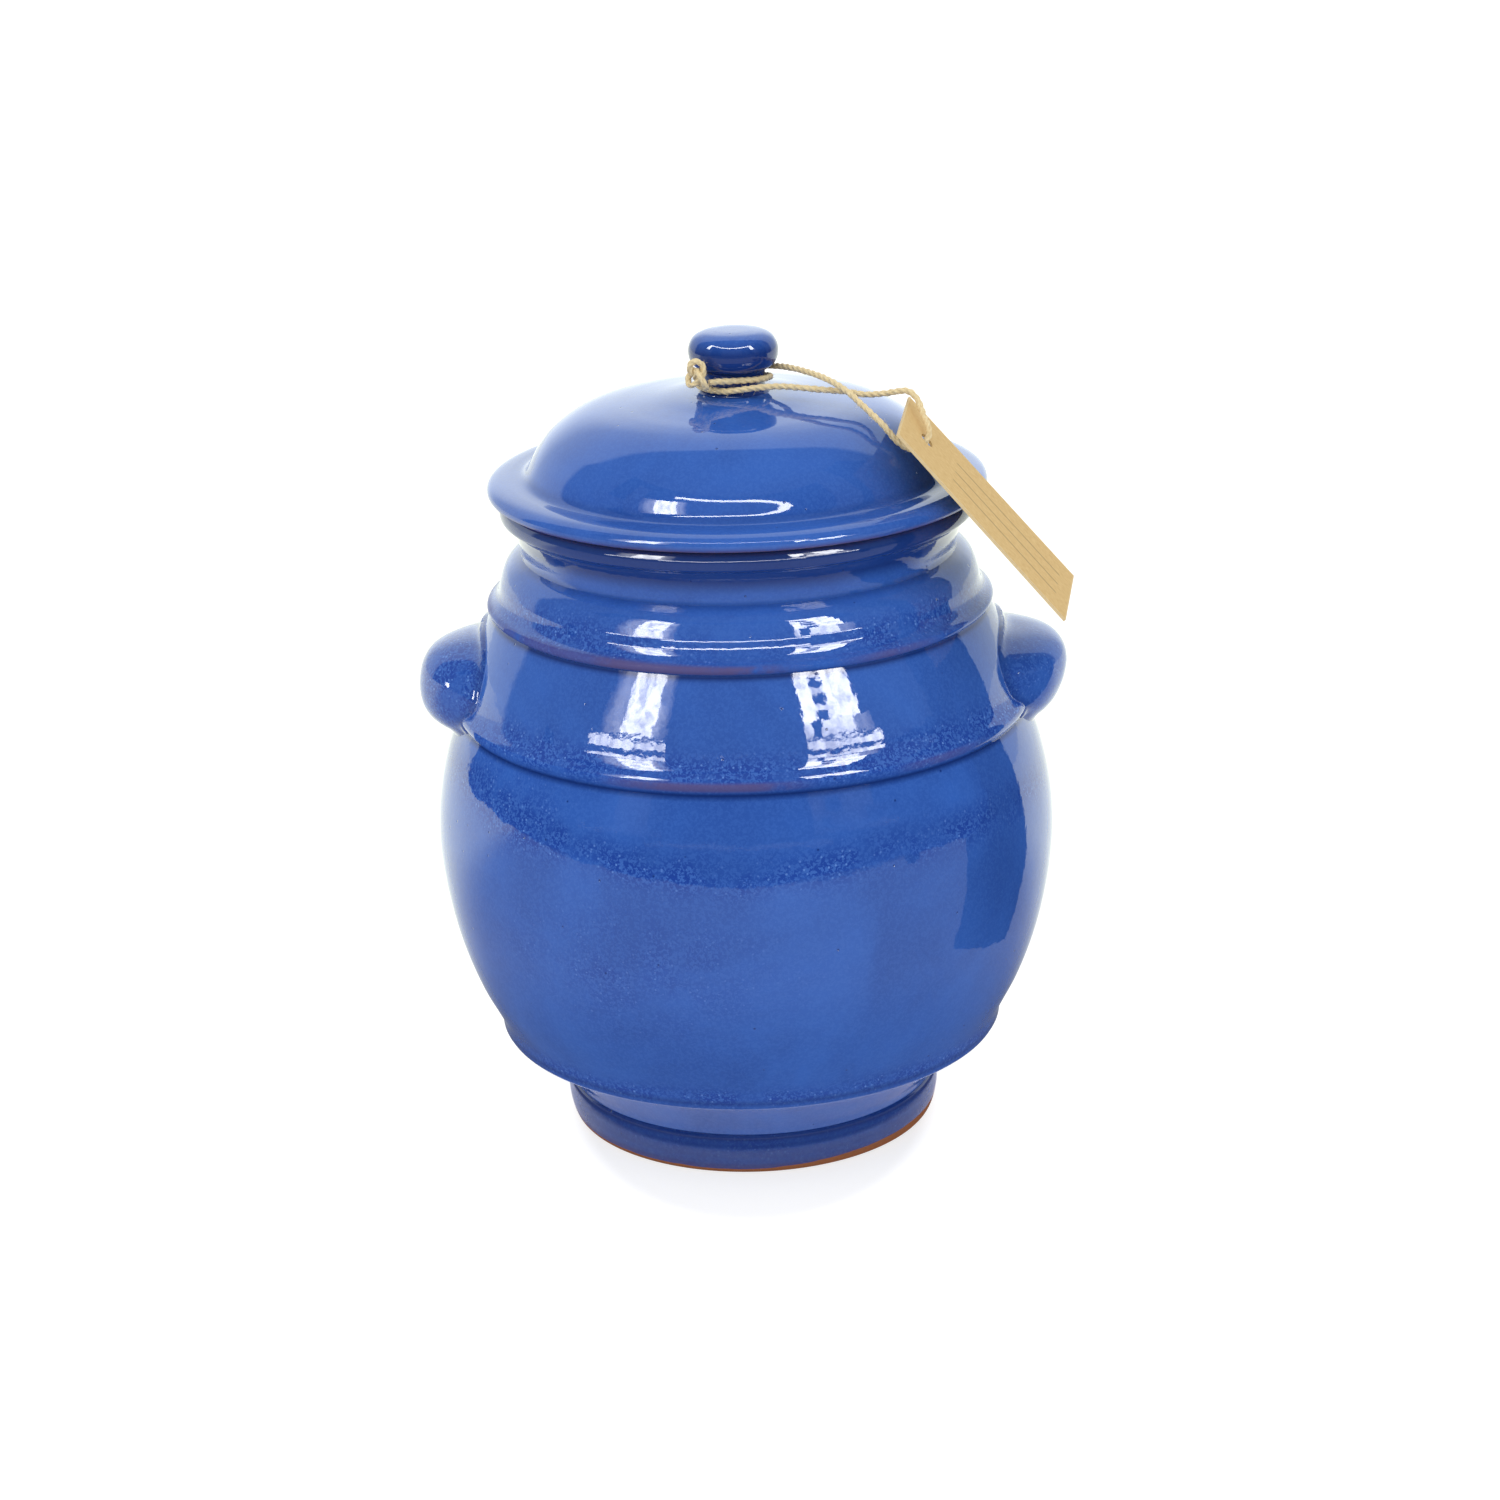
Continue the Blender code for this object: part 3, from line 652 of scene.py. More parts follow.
kraftValues = {
    "tan": (0.675, 0.450, 0.185, 1.0),
    "pale": (0.800, 0.585, 0.275, 1.0),
    "fleck": (0.330, 0.190, 0.070, 1.0),
    "worn": (0.840, 0.700, 0.440, 1.0),
    "ink": (0.200, 0.130, 0.070, 1.0),
    "pulpStretch": (40.0, 60.0, 1.0),
    "pulp": (1.0, 6.0, 0.65),
    "paleRange": (0.30, 0.70),
    "fleckStretch": (90.0, 420.0, 1.0),
    "flecks": ((1.0, 2.0, 0.5), (0.68, 0.78, 0.0, 0.6)),
    "edgeLength": 2.1,  # brings the long side's shares to the short side's
    "wornShake": 0.02,
    "wornRange": (0.030, 0.012, 0.0, 0.55),
    "lines": (0.30, 0.50, 0.70),  # where the writing lines run, as shares of the card's width
    "lineWidth": (0.012, 0.006),
    "lineStart": (0.30, 0.31),
    "lineEnd": (0.93, 0.92),
    "inkRange": (0.30, 0.50, 0.25, 0.6),
    "roughness": 0.82,
    "shine": 0.3,
    "grain": (1500.0, 4.0, 0.6),
    "grainDepth": 0.00006,
    "grainStrength": 0.8,
}


def makeKraft(values):
    material, tree, shader = newMaterial("kraftCard")
    card = addNode(tree, "ShaderNodeUVMap", uv_map="card").outputs["UV"]
    pulp = noiseNode(tree, scaledCoordinates(tree, card, values["pulpStretch"]), *values["pulp"])
    flecks = noiseRamp(tree, scaledCoordinates(tree, card, values["fleckStretch"]), *values["flecks"])
    colour = mixColour(tree, rampNode(tree, pulp, *values["paleRange"]), values["tan"], values["pale"])
    colour = mixColour(tree, flecks, colour, values["fleck"])

    # pale wear along the edges, then the writing lines
    parts = addNode(tree, "ShaderNodeSeparateXYZ", {"Vector": card})
    u, v = parts.outputs["X"], parts.outputs["Y"]
    edgeU, edgeV = (mathNode(tree, "MINIMUM", side, mathNode(tree, "SUBTRACT", 1.0, side)) for side in (u, v))
    nearEdge = mathNode(tree, "MINIMUM", times(tree, edgeU, values["edgeLength"]), edgeV)
    nearEdge = mathNode(tree, "ADD", nearEdge, times(tree, pulp, values["wornShake"]))
    colour = mixColour(tree, rampNode(tree, nearEdge, *values["wornRange"]), colour, values["worn"])
    inkShare = times(tree, rampNode(tree, u, *values["lineStart"]), rampNode(tree, u, *values["lineEnd"]))
    inkShare = times(tree, rampNode(tree, pulp, *values["inkRange"]), inkShare)
    for line in values["lines"]:
        near = mathNode(tree, "ABSOLUTE", mathNode(tree, "SUBTRACT", v, line))
        inked = times(tree, rampNode(tree, near, *values["lineWidth"]), inkShare)
        colour = mixColour(tree, inked, colour, values["ink"])
    tree.links.new(colour, shader.inputs["Base Color"])
    shader.inputs["Roughness"].default_value = values["roughness"]
    shader.inputs["Specular IOR Level"].default_value = values["shine"]
    grain = noiseNode(tree, objectPlace(tree), *values["grain"])
    normal = bumpNode(tree, grain, values["grainDepth"], values["grainStrength"])
    tree.links.new(normal, shader.inputs["Normal"])
    return material


tag = makeTag(tagValues, makeKraft(kraftValues))
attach(tag, "tag")
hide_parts("hang_tag")
print("tag hung")


# Pot: a bellied pot with three turned ridges. Each ridge flares out from above to a rounded lip.
potValues = {
    "sides": 210,
    "spacings": (1.2, 2.0, 0.7, 0.6, 0.8, 0.5),
    "insideSpacing": 3.0,
    "wobble": 0.00016,
    "seed": 3.0,
    "sharp": 44.0,
    "floorUnder": 0.0129,
    "ridges": (165.0, 134.4, 32.0),  # heights of the ridges' lips, from the top
    "trueRim": 0.193,  # metres up, where the throwing marks have died out,
    "trueFade": 0.02,  # over this much height
    "footShare": 0.15,
}

potOutside = [
    [(57.0, 12.6), (57.5, 14.6), (59.4, 18.0), (62.4, 22.6), (66.3, 26.9), (70.5, 28.9), (75.0, 29.8),
     (76.9, 30.5), (77.5, 31.5), (77.6, 32.6)],
    [(77.6, 32.6), (78.3, 35.8), (80.6, 40.6), (84.2, 47.9), (89.0, 61.3), (92.25, 75.2), (93.93, 89.45),
     (93.78, 100.1), (92.25, 111.0), (89.6, 121.4), (87.0, 128.0), (85.5, 131.3)],
    [(85.5, 131.3), (86.2, 132.6), (86.8, 133.6), (87.0, 134.5), (86.8, 135.4), (86.25, 136.4),
     (85.5, 137.2), (84.7, 138.2), (84.17, 139.2), (83.75, 140.3), (83.42, 141.4), (82.7, 143.9),
     (80.85, 149.6), (78.9, 154.4), (76.7, 159.0), (74.5, 163.2)],
    [(74.5, 163.2), (75.1, 163.7), (75.7, 164.2), (76.0, 164.9), (75.9, 165.6), (75.3, 166.3), (74.5, 166.8),
     (73.6, 167.4), (72.9, 168.2), (72.46, 169.1), (72.22, 169.8), (71.88, 171.4), (71.68, 172.5),
     (71.29, 173.8), (70.82, 175.2), (70.27, 176.4), (69.6, 177.5), (67.9, 179.2), (65.2, 180.9)],
    [(65.2, 180.9), (65.0, 182.4), (65.9, 185.6), (67.6, 189.4), (69.0, 191.5), (69.6, 191.9)],
    [(69.6, 191.9), (70.6, 192.5), (71.0, 193.6), (70.9, 195.6), (70.1, 197.2), (68.4, 197.9),
     (64.0, 197.95), (60.4, 197.9), (59.3, 197.3), (59.0, 196.2), (59.0, 194.0)],
]
potInside = [[(59.0, 194.0), (59.0, 181.0), (61.5, 174.0), (68.6, 163.0), (74.5, 148.0), (79.6, 131.5),
              (85.0, 112.0), (87.9, 89.5), (84.5, 62.0), (76.0, 42.0), (66.0, 29.0), (52.0, 22.6),
              (36.0, 21.0), (0.0, 20.85)]]


# the throwing marks fade out at the rim, and nearly so at the foot
def holdAtRim(co):
    top, fade, least = potValues["trueRim"], potValues["trueFade"], potValues["footShare"]
    return min(1.0, max(0.0, (top - co.z) / fade)) * min(1.0, max(least, co.z / fade))


potOutline = [(0.0, potValues["floorUnder"])] + outlineOf(potOutside, potValues["spacings"])
potOutline += outlineOf(potInside, [potValues["insideSpacing"]])[1:]
potShape = spunShape(potOutline, potValues["sides"])
handThrown(potShape, potValues["wobble"], potValues["seed"], holdAtRim)
pot = finishPiece("glazed_pot", potShape, potGlaze, potValues["sharp"])


# degrees round the pot from its front, positive towards +X
def bearing(co):
    return math.degrees(math.atan2(co.x, -co.y))


# Marks in the pot's glaze, in millimetres and degrees. A band is (strength, height, spread), its height
# counted from the ridge or edge that it follows, and a patch adds its bearing and sideways spread.
potMarkValues = {
    "outside": (0.0640, 60.0),  # above 60, anything nearer the axis than 0.064 m is inside
    "speckles": ((1.0, 5.0, 5.0), (1.0, 3.6, 4.6), (0.7, 2.4, 3.0)),
    "specklesFront": (2.0, 16.0, 18.0),  # bearing, half width and fade of the quieter front
    "specklesLeast": (0.42, 0.60),  # what is left there over the two upper ridges
    "edgeSpeckles": (0.8, 2.5, 5.0),
    "specklePatches": ((0.5, 78.0, 18.0, -22.0, 26.0), (0.6, 120.0, 12.0, -52.0, 16.0)),
    "creases": ((1.0, -2.3, 0.8), (1.0, -3.0, 0.9), (0.6, 0.6, 0.8)),
    "neckCrease": (0.5, 180.9, 0.9),
    "shoulderPaintedShade": (0.06, 131.0, 3.0),  # painted shade on the belly's shoulder: strength, top and fade
    "edgePaintedShade": (0.09, -1.0, 11.0, 5.0),  # painted shade just above the matt edge: strength, from and to above the edge, and fade
    # painted shade: a soft dark patch on the belly's right
    "rightPaintedShade": (0.30, 98.0, 24.0, 54.0, 12.0),
    "collarPaintedShade": (0.91, 184.0, 4.0),  # painted shade under the lid's brim: strength, where it starts, and over how much height
    "mattEdge": 106.5,
    "mattLeft": (12.0, 60.0, 1.4),  # the edge's rise, by which bearing, and how it bends
    "mattRight": (4.2, 30.0),
    "mattFront": (-8.0, 64.0, 12.0),  # bearing, half width and fade
    "mattOut": 0.0750,
    "mattFade": 9.0,
    "mattLips": ((-1.5, 1.5, 0.4), (-2.5, 1.6, 0.4)),  # from and to about each lip, and fade
    "bellyTop": 132.0,
    # for each lip: strength, from, to, fade, how much taller on the left, and (from, to, fade) in front
    "thinLips": ((1.0, -1.6, 1.5, 0.7, 0.5, (-42.0, 15.0, 12.0)),
                 (0.9, -2.0, 1.5, 0.9, 0.0, (-30.0, 14.0, 12.0))),
    "thinLeft": 30.0,
    "thinBehind": (2.4, 0.02, 1.4),  # scales round and up, and strength, of the patches behind
    "seat": (0.0605, 0.0675, 0.1974),  # bare clay where the lid sits, in metres
}


def band(height, base, values):
    strength, above, spread = values
    return strength * bell(height, base + above, spread)


def patch(height, turn, values):
    return band(height, 0.0, values[:3]) * bell(turn, *values[3:])


# all that follows the ridges: a band for each, times its share
def ridgeBands(height, bands, shares=(1.0, 1.0, 1.0)):
    ridges = potValues["ridges"]
    return sum(share * band(height, ridge, values) for share, ridge, values in zip(shares, ridges, bands))


def outsideOnly(co, weight):
    out, low = potMarkValues["outside"]
    return weight if math.hypot(co.x, co.y) > out or co.z / mm <= low else 0.0


# the height down to which the belly's front shoulder is matt; it climbs towards the sides
def mattEdge(turn):
    leftRise, leftEnd, bend = potMarkValues["mattLeft"]
    rightRise, rightEnd = potMarkValues["mattRight"]
    if turn < 0:
        return potMarkValues["mattEdge"] + leftRise * min(1.0, -turn / leftEnd) ** bend
    return potMarkValues["mattEdge"] + rightRise * min(1.0, turn / rightEnd)


# speckled glaze gathers above each ridge, at the belly's shoulder, and low on the belly's left
def potMottle(co):
    values, height, turn = potMarkValues, co.z / mm, bearing(co)
    front, halfWidth, fade = values["specklesFront"]
    leastHigh, leastMiddle = values["specklesLeast"]
    away = min(1.0, max(0.0, abs(turn - front) - halfWidth) / fade)
    high = leastHigh + (1.0 - leastHigh) * away
    middle = leastMiddle + (1.0 - leastMiddle) * high
    amount = ridgeBands(height, values["speckles"], (high, middle, 1.0))
    amount += band(height, mattEdge(turn), values["edgeSpeckles"])
    amount += sum(patch(height, turn, place) for place in values["specklePatches"])
    return min(1.0, amount)


# the glaze is darker in the creases; painted shade darkens the belly's shoulder, a patch on its right, and
# the collar under the lid's brim
def potPoolAndShade(co):
    values, height, turn = potMarkValues, co.z / mm, bearing(co)
    amount = ridgeBands(height, values["creases"]) + band(height, 0.0, values["neckCrease"])
    # from here down, painted shade: the shoulder, the band above the matt edge, the right patch and the
    # collar
    edge = mattEdge(turn)
    strength, top, fade = values["shoulderPaintedShade"]
    amount += strength * plateau(height, edge, top, fade)
    strength, low, high, fade = values["edgePaintedShade"]
    amount += strength * plateau(height, edge + low, edge + high, fade)
    amount += patch(height, turn, values["rightPaintedShade"])
    strength, start, fade = values["collarPaintedShade"]
    amount += strength * max(0.0, min(1.0, (height - start) / fade))
    return min(1.0, outsideOnly(co, amount))


# the glaze breaks to brown along part of each lip: at the front, and here and there behind
def potThin(co):
    values, height, turn = potMarkValues, co.z / mm, bearing(co)
    roundScale, upScale, most = values["thinBehind"]
    sample = Vector((math.sin(math.radians(turn)) * roundScale, 3.0, height * upScale))
    behind = max(0.0, noise.noise(sample)) * most
    left = min(1.0, max(0.0, -turn / values["thinLeft"]))
    amount = 0.0
    for ridge, (strength, low, top, fade, taller, bearings) in zip(potValues["ridges"], values["thinLips"]):
        onLip = plateau(height, ridge + low, ridge + top + taller * left, fade)
        amount += strength * onLip * max(plateau(turn, *bearings), behind)
    return min(1.0, outsideOnly(co, amount))


def potBare(co):
    inner, outer, low = potMarkValues["seat"]
    return 1.0 if inner < math.hypot(co.x, co.y) < outer and co.z > low else 0.0


# the belly's front shoulder and the lips' fronts are more matt, so no window shows there
def potMatt(co):
    values, height, turn = potMarkValues, co.z / mm, bearing(co)
    if math.hypot(co.x, co.y) < values["mattOut"]:
        return 0.0
    front, halfWidth, fade = values["mattFront"]
    sides = max(0.0, min(1.0, (halfWidth - abs(turn - front)) / fade))
    if height <= values["bellyTop"]:
        return sides * max(0.0, min(1.0, 0.5 + (height - mattEdge(turn)) / values["mattFade"]))
    lips = zip(potValues["ridges"], values["mattLips"])
    return sides * sum(plateau(height, ridge + low, ridge + top, fade) for ridge, (low, top, fade) in lips)


paintMarks(pot, mottle=potMottle, pool=potPoolAndShade, thin=potThin, bare=potBare, matt=potMatt)
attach(pot, "jar")
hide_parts("jar_body")
print("pot thrown", len(pot.data.polygons))


# Foot: a turned ring luted under the pot, glazed down its side and bare where it stands.
footValues = {
    "sides": 200,
    "spacings": (3.0, 0.8, 2.0, 1.2),
    "wobble": 0.00015,
    "seed": 9.0,
    "thrown": (0.001, 0.012),  # metres up, between which the marks of throwing show
    "glazeEdge": 0.0009,
    "wiped": (0.0024, 0.0563),  # how much higher the glaze ends on the far right, and how far out that is
    "edgeFade": 0.0014,
    "under": (0.0555, 0.004),  # the bare underside: out to here, and no higher than this
    "speckles": 0.5,
    # painted shade for the foot under the belly: over all of it, more at its top, with random streaks
    "dark": 0.70,
    "paintedShadeTop": (0.3, 12.9, 1.5),
    "darkStreaks": (0.3, 900.0),
    "thinBand": (0.6, 2.0, 1.2),  # these bands are in millimetres, as on the pot
}
footOutline = outlineOf([
    [(0.0, 13.4), (54.0, 13.4)],
    [(54.0, 13.4), (56.4, 13.35), (57.3, 13.0), (57.7, 12.2), (57.9, 9.6), (57.8, 6.4), (57.2, 3.0),
     (56.6, 1.1), (56.1, 0.3), (55.2, 0.0)],
    [(55.2, 0.0), (50.0, 0.0), (46.4, 0.0)],
    [(46.4, 0.0), (45.6, 0.3), (44.6, 1.6), (43.4, 2.4), (42.0, 2.5), (0.0, 2.5)],
], footValues["spacings"])
footShape = spunShape(footOutline, footValues["sides"])


def holdFootEnds(co):
    low, high = footValues["thrown"]
    return 1.0 if low < co.z < high else 0.0


handThrown(footShape, footValues["wobble"], footValues["seed"], holdFootEnds)
foot = finishPiece("glazed_foot", footShape, potGlaze)


# the glaze stops a millimetre up, higher on the right where it was wiped
def footBare(co):
    out, low = footValues["under"]
    if math.hypot(co.x, co.y) < out and co.z < low:
        return 1.0
    wiped, far = footValues["wiped"]
    edge = footValues["glazeEdge"] + wiped * max(0.0, co.x / far)
    return 1.0 if co.z < edge else max(0.0, 1.0 - (co.z - edge) / footValues["edgeFade"])


# painted shade: the foot darker all over under the belly's overhang, more at its top, with random streaks
def footPaintedShade(co):
    amount, scale = footValues["darkStreaks"]
    streaks = amount * noise.noise(Vector((0, 1, co.z * scale)))
    return footValues["dark"] + band(co.z / mm, 0.0, footValues["paintedShadeTop"]) + streaks


paintMarks(foot, mottle=lambda co: footValues["speckles"], pool=footPaintedShade,
           thin=lambda co: band(co.z / mm, 0.0, footValues["thinBand"]), bare=footBare)
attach(foot, "jar")
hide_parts("foot_ring")
print("foot turned")


# Lugs: thick clay pucks pressed on the wall, with the join smeared into it all round.
lugValues = {
    "axis": 70.0,  # millimetres out from the pot's axis to the puck's
    "sides": 220,
    "spacing": 0.55,
    "smear": 0.0034,  # how far the join is smeared out on the wall
    "smearShare": 0.8,
    "sunk": 0.0006,
    "cutterTop": 0.18,
    "cutterStep": 0.009,  # how far the cutter's top edge lies inside the wall
    "cutterSides": 160,
    "wobble": 0.00045,
    "lumpScale": 60.0,
    "lumpSeed": 7.0,
    "sharp": 60.0,
    "speckles": (1.0, 0.45),  # on the left lug and the right
    "joinDark": (0.5, 0.0, 1.6),
    "wallSpacings": (1.2, 1.2),
}
wallLine = outlineOf(potOutside[1:3], lugValues["wallSpacings"])


# the pot's outside radius at a height in metres, between the low ridge and the upper one
def wallRadius(height):
    for (r0, z0), (r1, z1) in zip(wallLine, wallLine[1:]):
        if z0 <= height <= z1:
            return r0 + (r1 - r0) * (height - z0) / max(1e-9, z1 - z0)
    return wallLine[-1][0]


# a puck spun on its own axis at the pot's right, lumpy, smeared where it meets the wall
def makeLug(name, side, outline, speckles, material):
    values = lugValues
    shape = spunShape(outlineOf(outline, [values["spacing"]]), values["sides"], values["axis"] * mm)
    for vert in shape.verts:
        spot = vert.co * values["lumpScale"] + Vector((0.0, 0.0, values["lumpSeed"] * side))
        vert.co += vert.normal * values["wobble"] * noise.noise(spot)
    shape.normal_update()
    for vert in shape.verts:
        flat = Vector((vert.co.x, vert.co.y, 0.0))
        wall = flat.normalized()
        away = max(0.0, flat.length - wallRadius(vert.co.z))
        if away < values["smear"]:
            along = vert.normal - wall * vert.normal.dot(wall)
            short = values["smear"] - away
            rise = values["smear"] - math.sqrt(max(0.0, values["smear"] ** 2 - short ** 2))
            vert.co += along * rise * values["smearShare"]
    if side < 0:
        bmesh.ops.scale(shape, vec=(-1.0, 1.0, 1.0), verts=shape.verts)
        bmesh.ops.reverse_faces(shape, faces=shape.faces)
    lug = finishPiece(name, shape, material, values["sharp"])

    # cut away what would lie inside the pot
    cutOutline = [(0.0, values["cutterTop"]), (wallLine[-1][0] - values["cutterStep"], values["cutterTop"])]
    cutOutline += [(r - values["sunk"], z) for r, z in reversed(wallLine)] + [(0.0, wallLine[0][1])]
    cutter = finishPiece(name + "Cutter", spunShape(cutOutline, values["cutterSides"]), material)
    cut = lug.modifiers.new("wallCut", "BOOLEAN")
    cut.operation = "DIFFERENCE"
    cut.object = cutter
    depsgraph = bpy.context.evaluated_depsgraph_get()
    cutMesh = bpy.data.meshes.new_from_object(lug.evaluated_get(depsgraph))
    lug.modifiers.clear()
    lug.data = cutMesh
    bpy.data.objects.remove(cutter)

    def joinPool(co):
        return band((math.hypot(co.x, co.y) - wallRadius(co.z)) / mm, 0.0, values["joinDark"])

    paintMarks(lug, mottle=lambda co: speckles, pool=joinPool)
    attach(lug, "jar")
    return lug


leftLugOutline = [[
    (0.0, 156.2), (12.0, 155.2), (19.5, 153.2), (23.8, 150.6), (26.3, 147.0), (27.5, 142.4), (27.6, 138.2),
    (26.9, 134.6), (25.2, 131.4), (22.4, 128.9), (18.0, 127.3), (0.0, 125.6),
]]
rightLugOutline = [[
    (0.0, 154.6), (12.0, 153.7), (20.5, 152.0), (25.2, 149.8), (27.4, 147.0), (28.2, 143.6), (27.8, 139.6),
    (26.6, 135.6), (24.4, 131.2), (21.4, 127.8), (17.6, 125.9), (0.0, 124.4),
]]
leftSpeckles, rightSpeckles = lugValues["speckles"]
leftLug = makeLug("left_ear", -1, leftLugOutline, leftSpeckles, potGlaze)
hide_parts("left_lug")
rightLug = makeLug("right_ear", 1, rightLugOutline, rightSpeckles, potGlaze)
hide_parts("right_lug")
print("lugs pressed on", len(leftLug.data.polygons), len(rightLug.data.polygons))


# Lid: a squat dome with a rounded brim, and a skirt below that drops into the mouth.
lidValues = {
    "sides": 240,
    "spacings": (0.8, 2.5, 2.0),
    "wobble": 0.00010,
    "seed": 21.0,
    "sharp": 60.0,
    "thrownFrom": 0.1990,  # metres up
    "speckles": (0.12, 206.5, 4.0),  # the bands are in millimetres, as on the pot
    "crease": (0.35, 205.0, 1.2),
    "creaseOut": 0.06,  # metres out; nearer the middle there is none
    "thinBand": (0.9, 199.0, 0.7),
    "thinOut": 0.0715,
    "bareBelow": 0.19865,
    "bareOut": 0.0560,
}

lidRuns = [
    [(0.0, 227.9), (8.7, 227.7), (17.2, 227.1), (25.2, 226.0), (30.0, 225.4), (37.0, 224.5), (43.0, 223.2),
     (47.5, 221.4), (51.6, 218.9), (55.2, 216.0), (56.65, 214.4), (57.9, 212.8), (59.2, 210.9),
     (60.1, 209.4), (60.95, 207.8), (61.7, 206.4), (62.25, 205.5), (63.0, 204.6), (64.1, 204.0),
     (65.8, 203.75), (68.4, 203.6), (71.6, 203.1), (73.4, 202.3), (74.2, 201.0), (74.1, 199.7),
     (73.0, 198.7), (71.2, 198.25)],
    [(71.2, 198.25), (64.0, 198.25), (58.0, 198.25)],
    [(58.0, 198.25), (57.6, 197.6), (57.5, 195.0), (57.2, 191.2), (56.6, 190.1), (55.6, 189.75),
     (54.6, 189.8), (53.8, 190.6), (53.3, 194.0), (53.2, 203.0), (50.4, 208.6), (43.0, 214.2),
     (30.0, 219.2), (14.0, 221.5), (0.0, 221.9)],
]
lidOutline = outlineOf(lidRuns, lidValues["spacings"])
lidShape = spunShape(lidOutline, lidValues["sides"])
handThrown(lidShape, lidValues["wobble"], lidValues["seed"], heldBelow(lidValues["thrownFrom"]))
lid = finishPiece("glazed_lid", lidShape, lidGlaze, lidValues["sharp"])


# a band of the lid's glaze, only further out than a radius
def lidBand(co, name, out=0.0):
    return band(co.z / mm, 0.0, lidValues[name]) if math.hypot(co.x, co.y) > out else 0.0


def lidBare(co):
    return 1.0 if co.z < lidValues["bareBelow"] and math.hypot(co.x, co.y) > lidValues["bareOut"] else 0.0


paintMarks(lid, mottle=lambda co: lidBand(co, "speckles"), bare=lidBare,
           pool=lambda co: lidBand(co, "crease", lidValues["creaseOut"]),
           thin=lambda co: lidBand(co, "thinBand", lidValues["thinOut"]))
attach(lid, "lid")
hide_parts("lid")
print("lid turned", len(lid.data.polygons))


# Knob: a thick button on a short neck that flares into the dome.
knobValues = {
    "sides": 160,
    "spacings": (2.0, 0.4),
    "wobble": 0.00018,
    "seed": 33.0,
    "sharp": 60.0,
    "thrownFrom": 0.2350,
    "speckles": 0.15,
    "dark": (0.95, 245.0, 4.5),  # painted shade below the knob's top: the darkest, and from what height down it sets in, over how much
}
knobOutline = outlineOf([
    [(0.0, 227.0), (10.8, 227.0)],
    [(10.8, 227.0), (10.3, 228.1), (9.3, 229.0), (9.0, 230.4), (9.0, 232.6), (9.4, 234.0), (10.6, 234.8),
     (12.1, 235.9), (13.0, 237.4), (13.3, 239.0), (13.3, 240.4), (12.8, 242.2), (11.6, 244.0),
     (9.4, 245.2), (6.0, 245.75), (0.0, 245.9)],
], knobValues["spacings"])
knobShape = spunShape(knobOutline, knobValues["sides"])
handThrown(knobShape, knobValues["wobble"], knobValues["seed"], heldBelow(knobValues["thrownFrom"]))
knob = finishPiece("glazed_knob", knobShape, lidGlaze, knobValues["sharp"])


# painted shade: darker down the knob's sides and neck, the top left light
def knobPaintedShade(co):
    darkest, start, fade = knobValues["dark"]
    return min(darkest, max(0.0, (start - co.z / mm) / fade))


paintMarks(knob, mottle=lambda co: knobValues["speckles"], pool=knobPaintedShade)
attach(knob, "lid")
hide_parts("lid_knob")
print("knob turned")


# Stage: a pale round table top, a pale room seen in the glaze, two tall windows and soft lamps.
stageValues = {
    "tableCentre": (0.0, 2.0, 0.0),
    "tableRadius": 4.0,
    "tableSides": 160,
    "matt": 0.9,  # roughness of the table and the dark board
    "tableShine": 0.1,
    "tableColour": (0.86, 0.86, 0.86, 1.0),
    "tableShade": (0.36, 0.36, 0.36, 1.0),  # what the camera sees of it, under the lift
    "cameraLift": (0.71, 0.90),  # brings the table to white for the camera, at the foot and out
    "liftReach": (0.0595, 0.068),
    "liftScale": (1.15, 0.72, 1.0),  # painted light: the lift is less in an oval that reaches further forward than sideways, so the shadow shows only there
    # painted reflection: in the glaze the table shows brighter than white under the jar's edge, as painted
    # shade close by, dimmer further off in front, and bright behind
    "tableUnder": (1.60, 1.60, 1.64, 1.0),  # how it shows in the glaze: under the jar's edge,
    "tableNear": (0.22, 0.23, 0.27, 1.0),  # close by,
    "tableFar": (0.52, 0.53, 0.58, 1.0),  # further off in front,
    "tableBehind": (1.50, 1.56, 1.36, 1.0),  # and behind
    "nearRange": (0.068, 0.078),  # metres out, where each of these sets in
    "farRange": (0.090, 0.180),
    "behindRange": (0.02, 0.20),
    "room": (0.16, 0.18, 0.21, 1.0),
    "backdropLow": (1.00, 1.10, 1.12, 1.0),
    "backdrop": (1.62, 1.72, 1.66, 1.0),
    "backdropLowRange": (0.36, 0.43),  # how far back a direction points, where each sets in
    "backdropRange": (0.78, 0.97),
    "skyLevel": 0.80,
    "eyeHeight": 0.15,  # metres up, where the panes are aimed
    "paneStep": 4.0,  # degrees of a pane from one edge of its grid to the next
    "bendAt": 60.0,  # degrees out, where the bends are measured
    "windowLight": (21.0, 0.55),  # strength, and how deep its streaks are
    "stripLight": (17.0, 0.0),
    "streaks": (9.0, 9.0, 1.5),
    "streakNoise": (1.0, 3.0, 0.6),
    "streakRange": (0.30, 0.62),
    "boardPlace": (0.15, -0.036, 0.217),
    "boardSize": (0.406, 0.076, 1.0),
    "boardColour": (0.01, 0.01, 0.012, 1.0),
    "lampAim": 0.12,
    "lampDistance": 2.0,
    "lamps": {  # azimuth, elevation, spread and strength
        "keyLamp": (-35.0, 55.0, 40.0, 0.55),
        "fillLamp": (50.0, 45.0, 60.0, 0.25),
    },
}


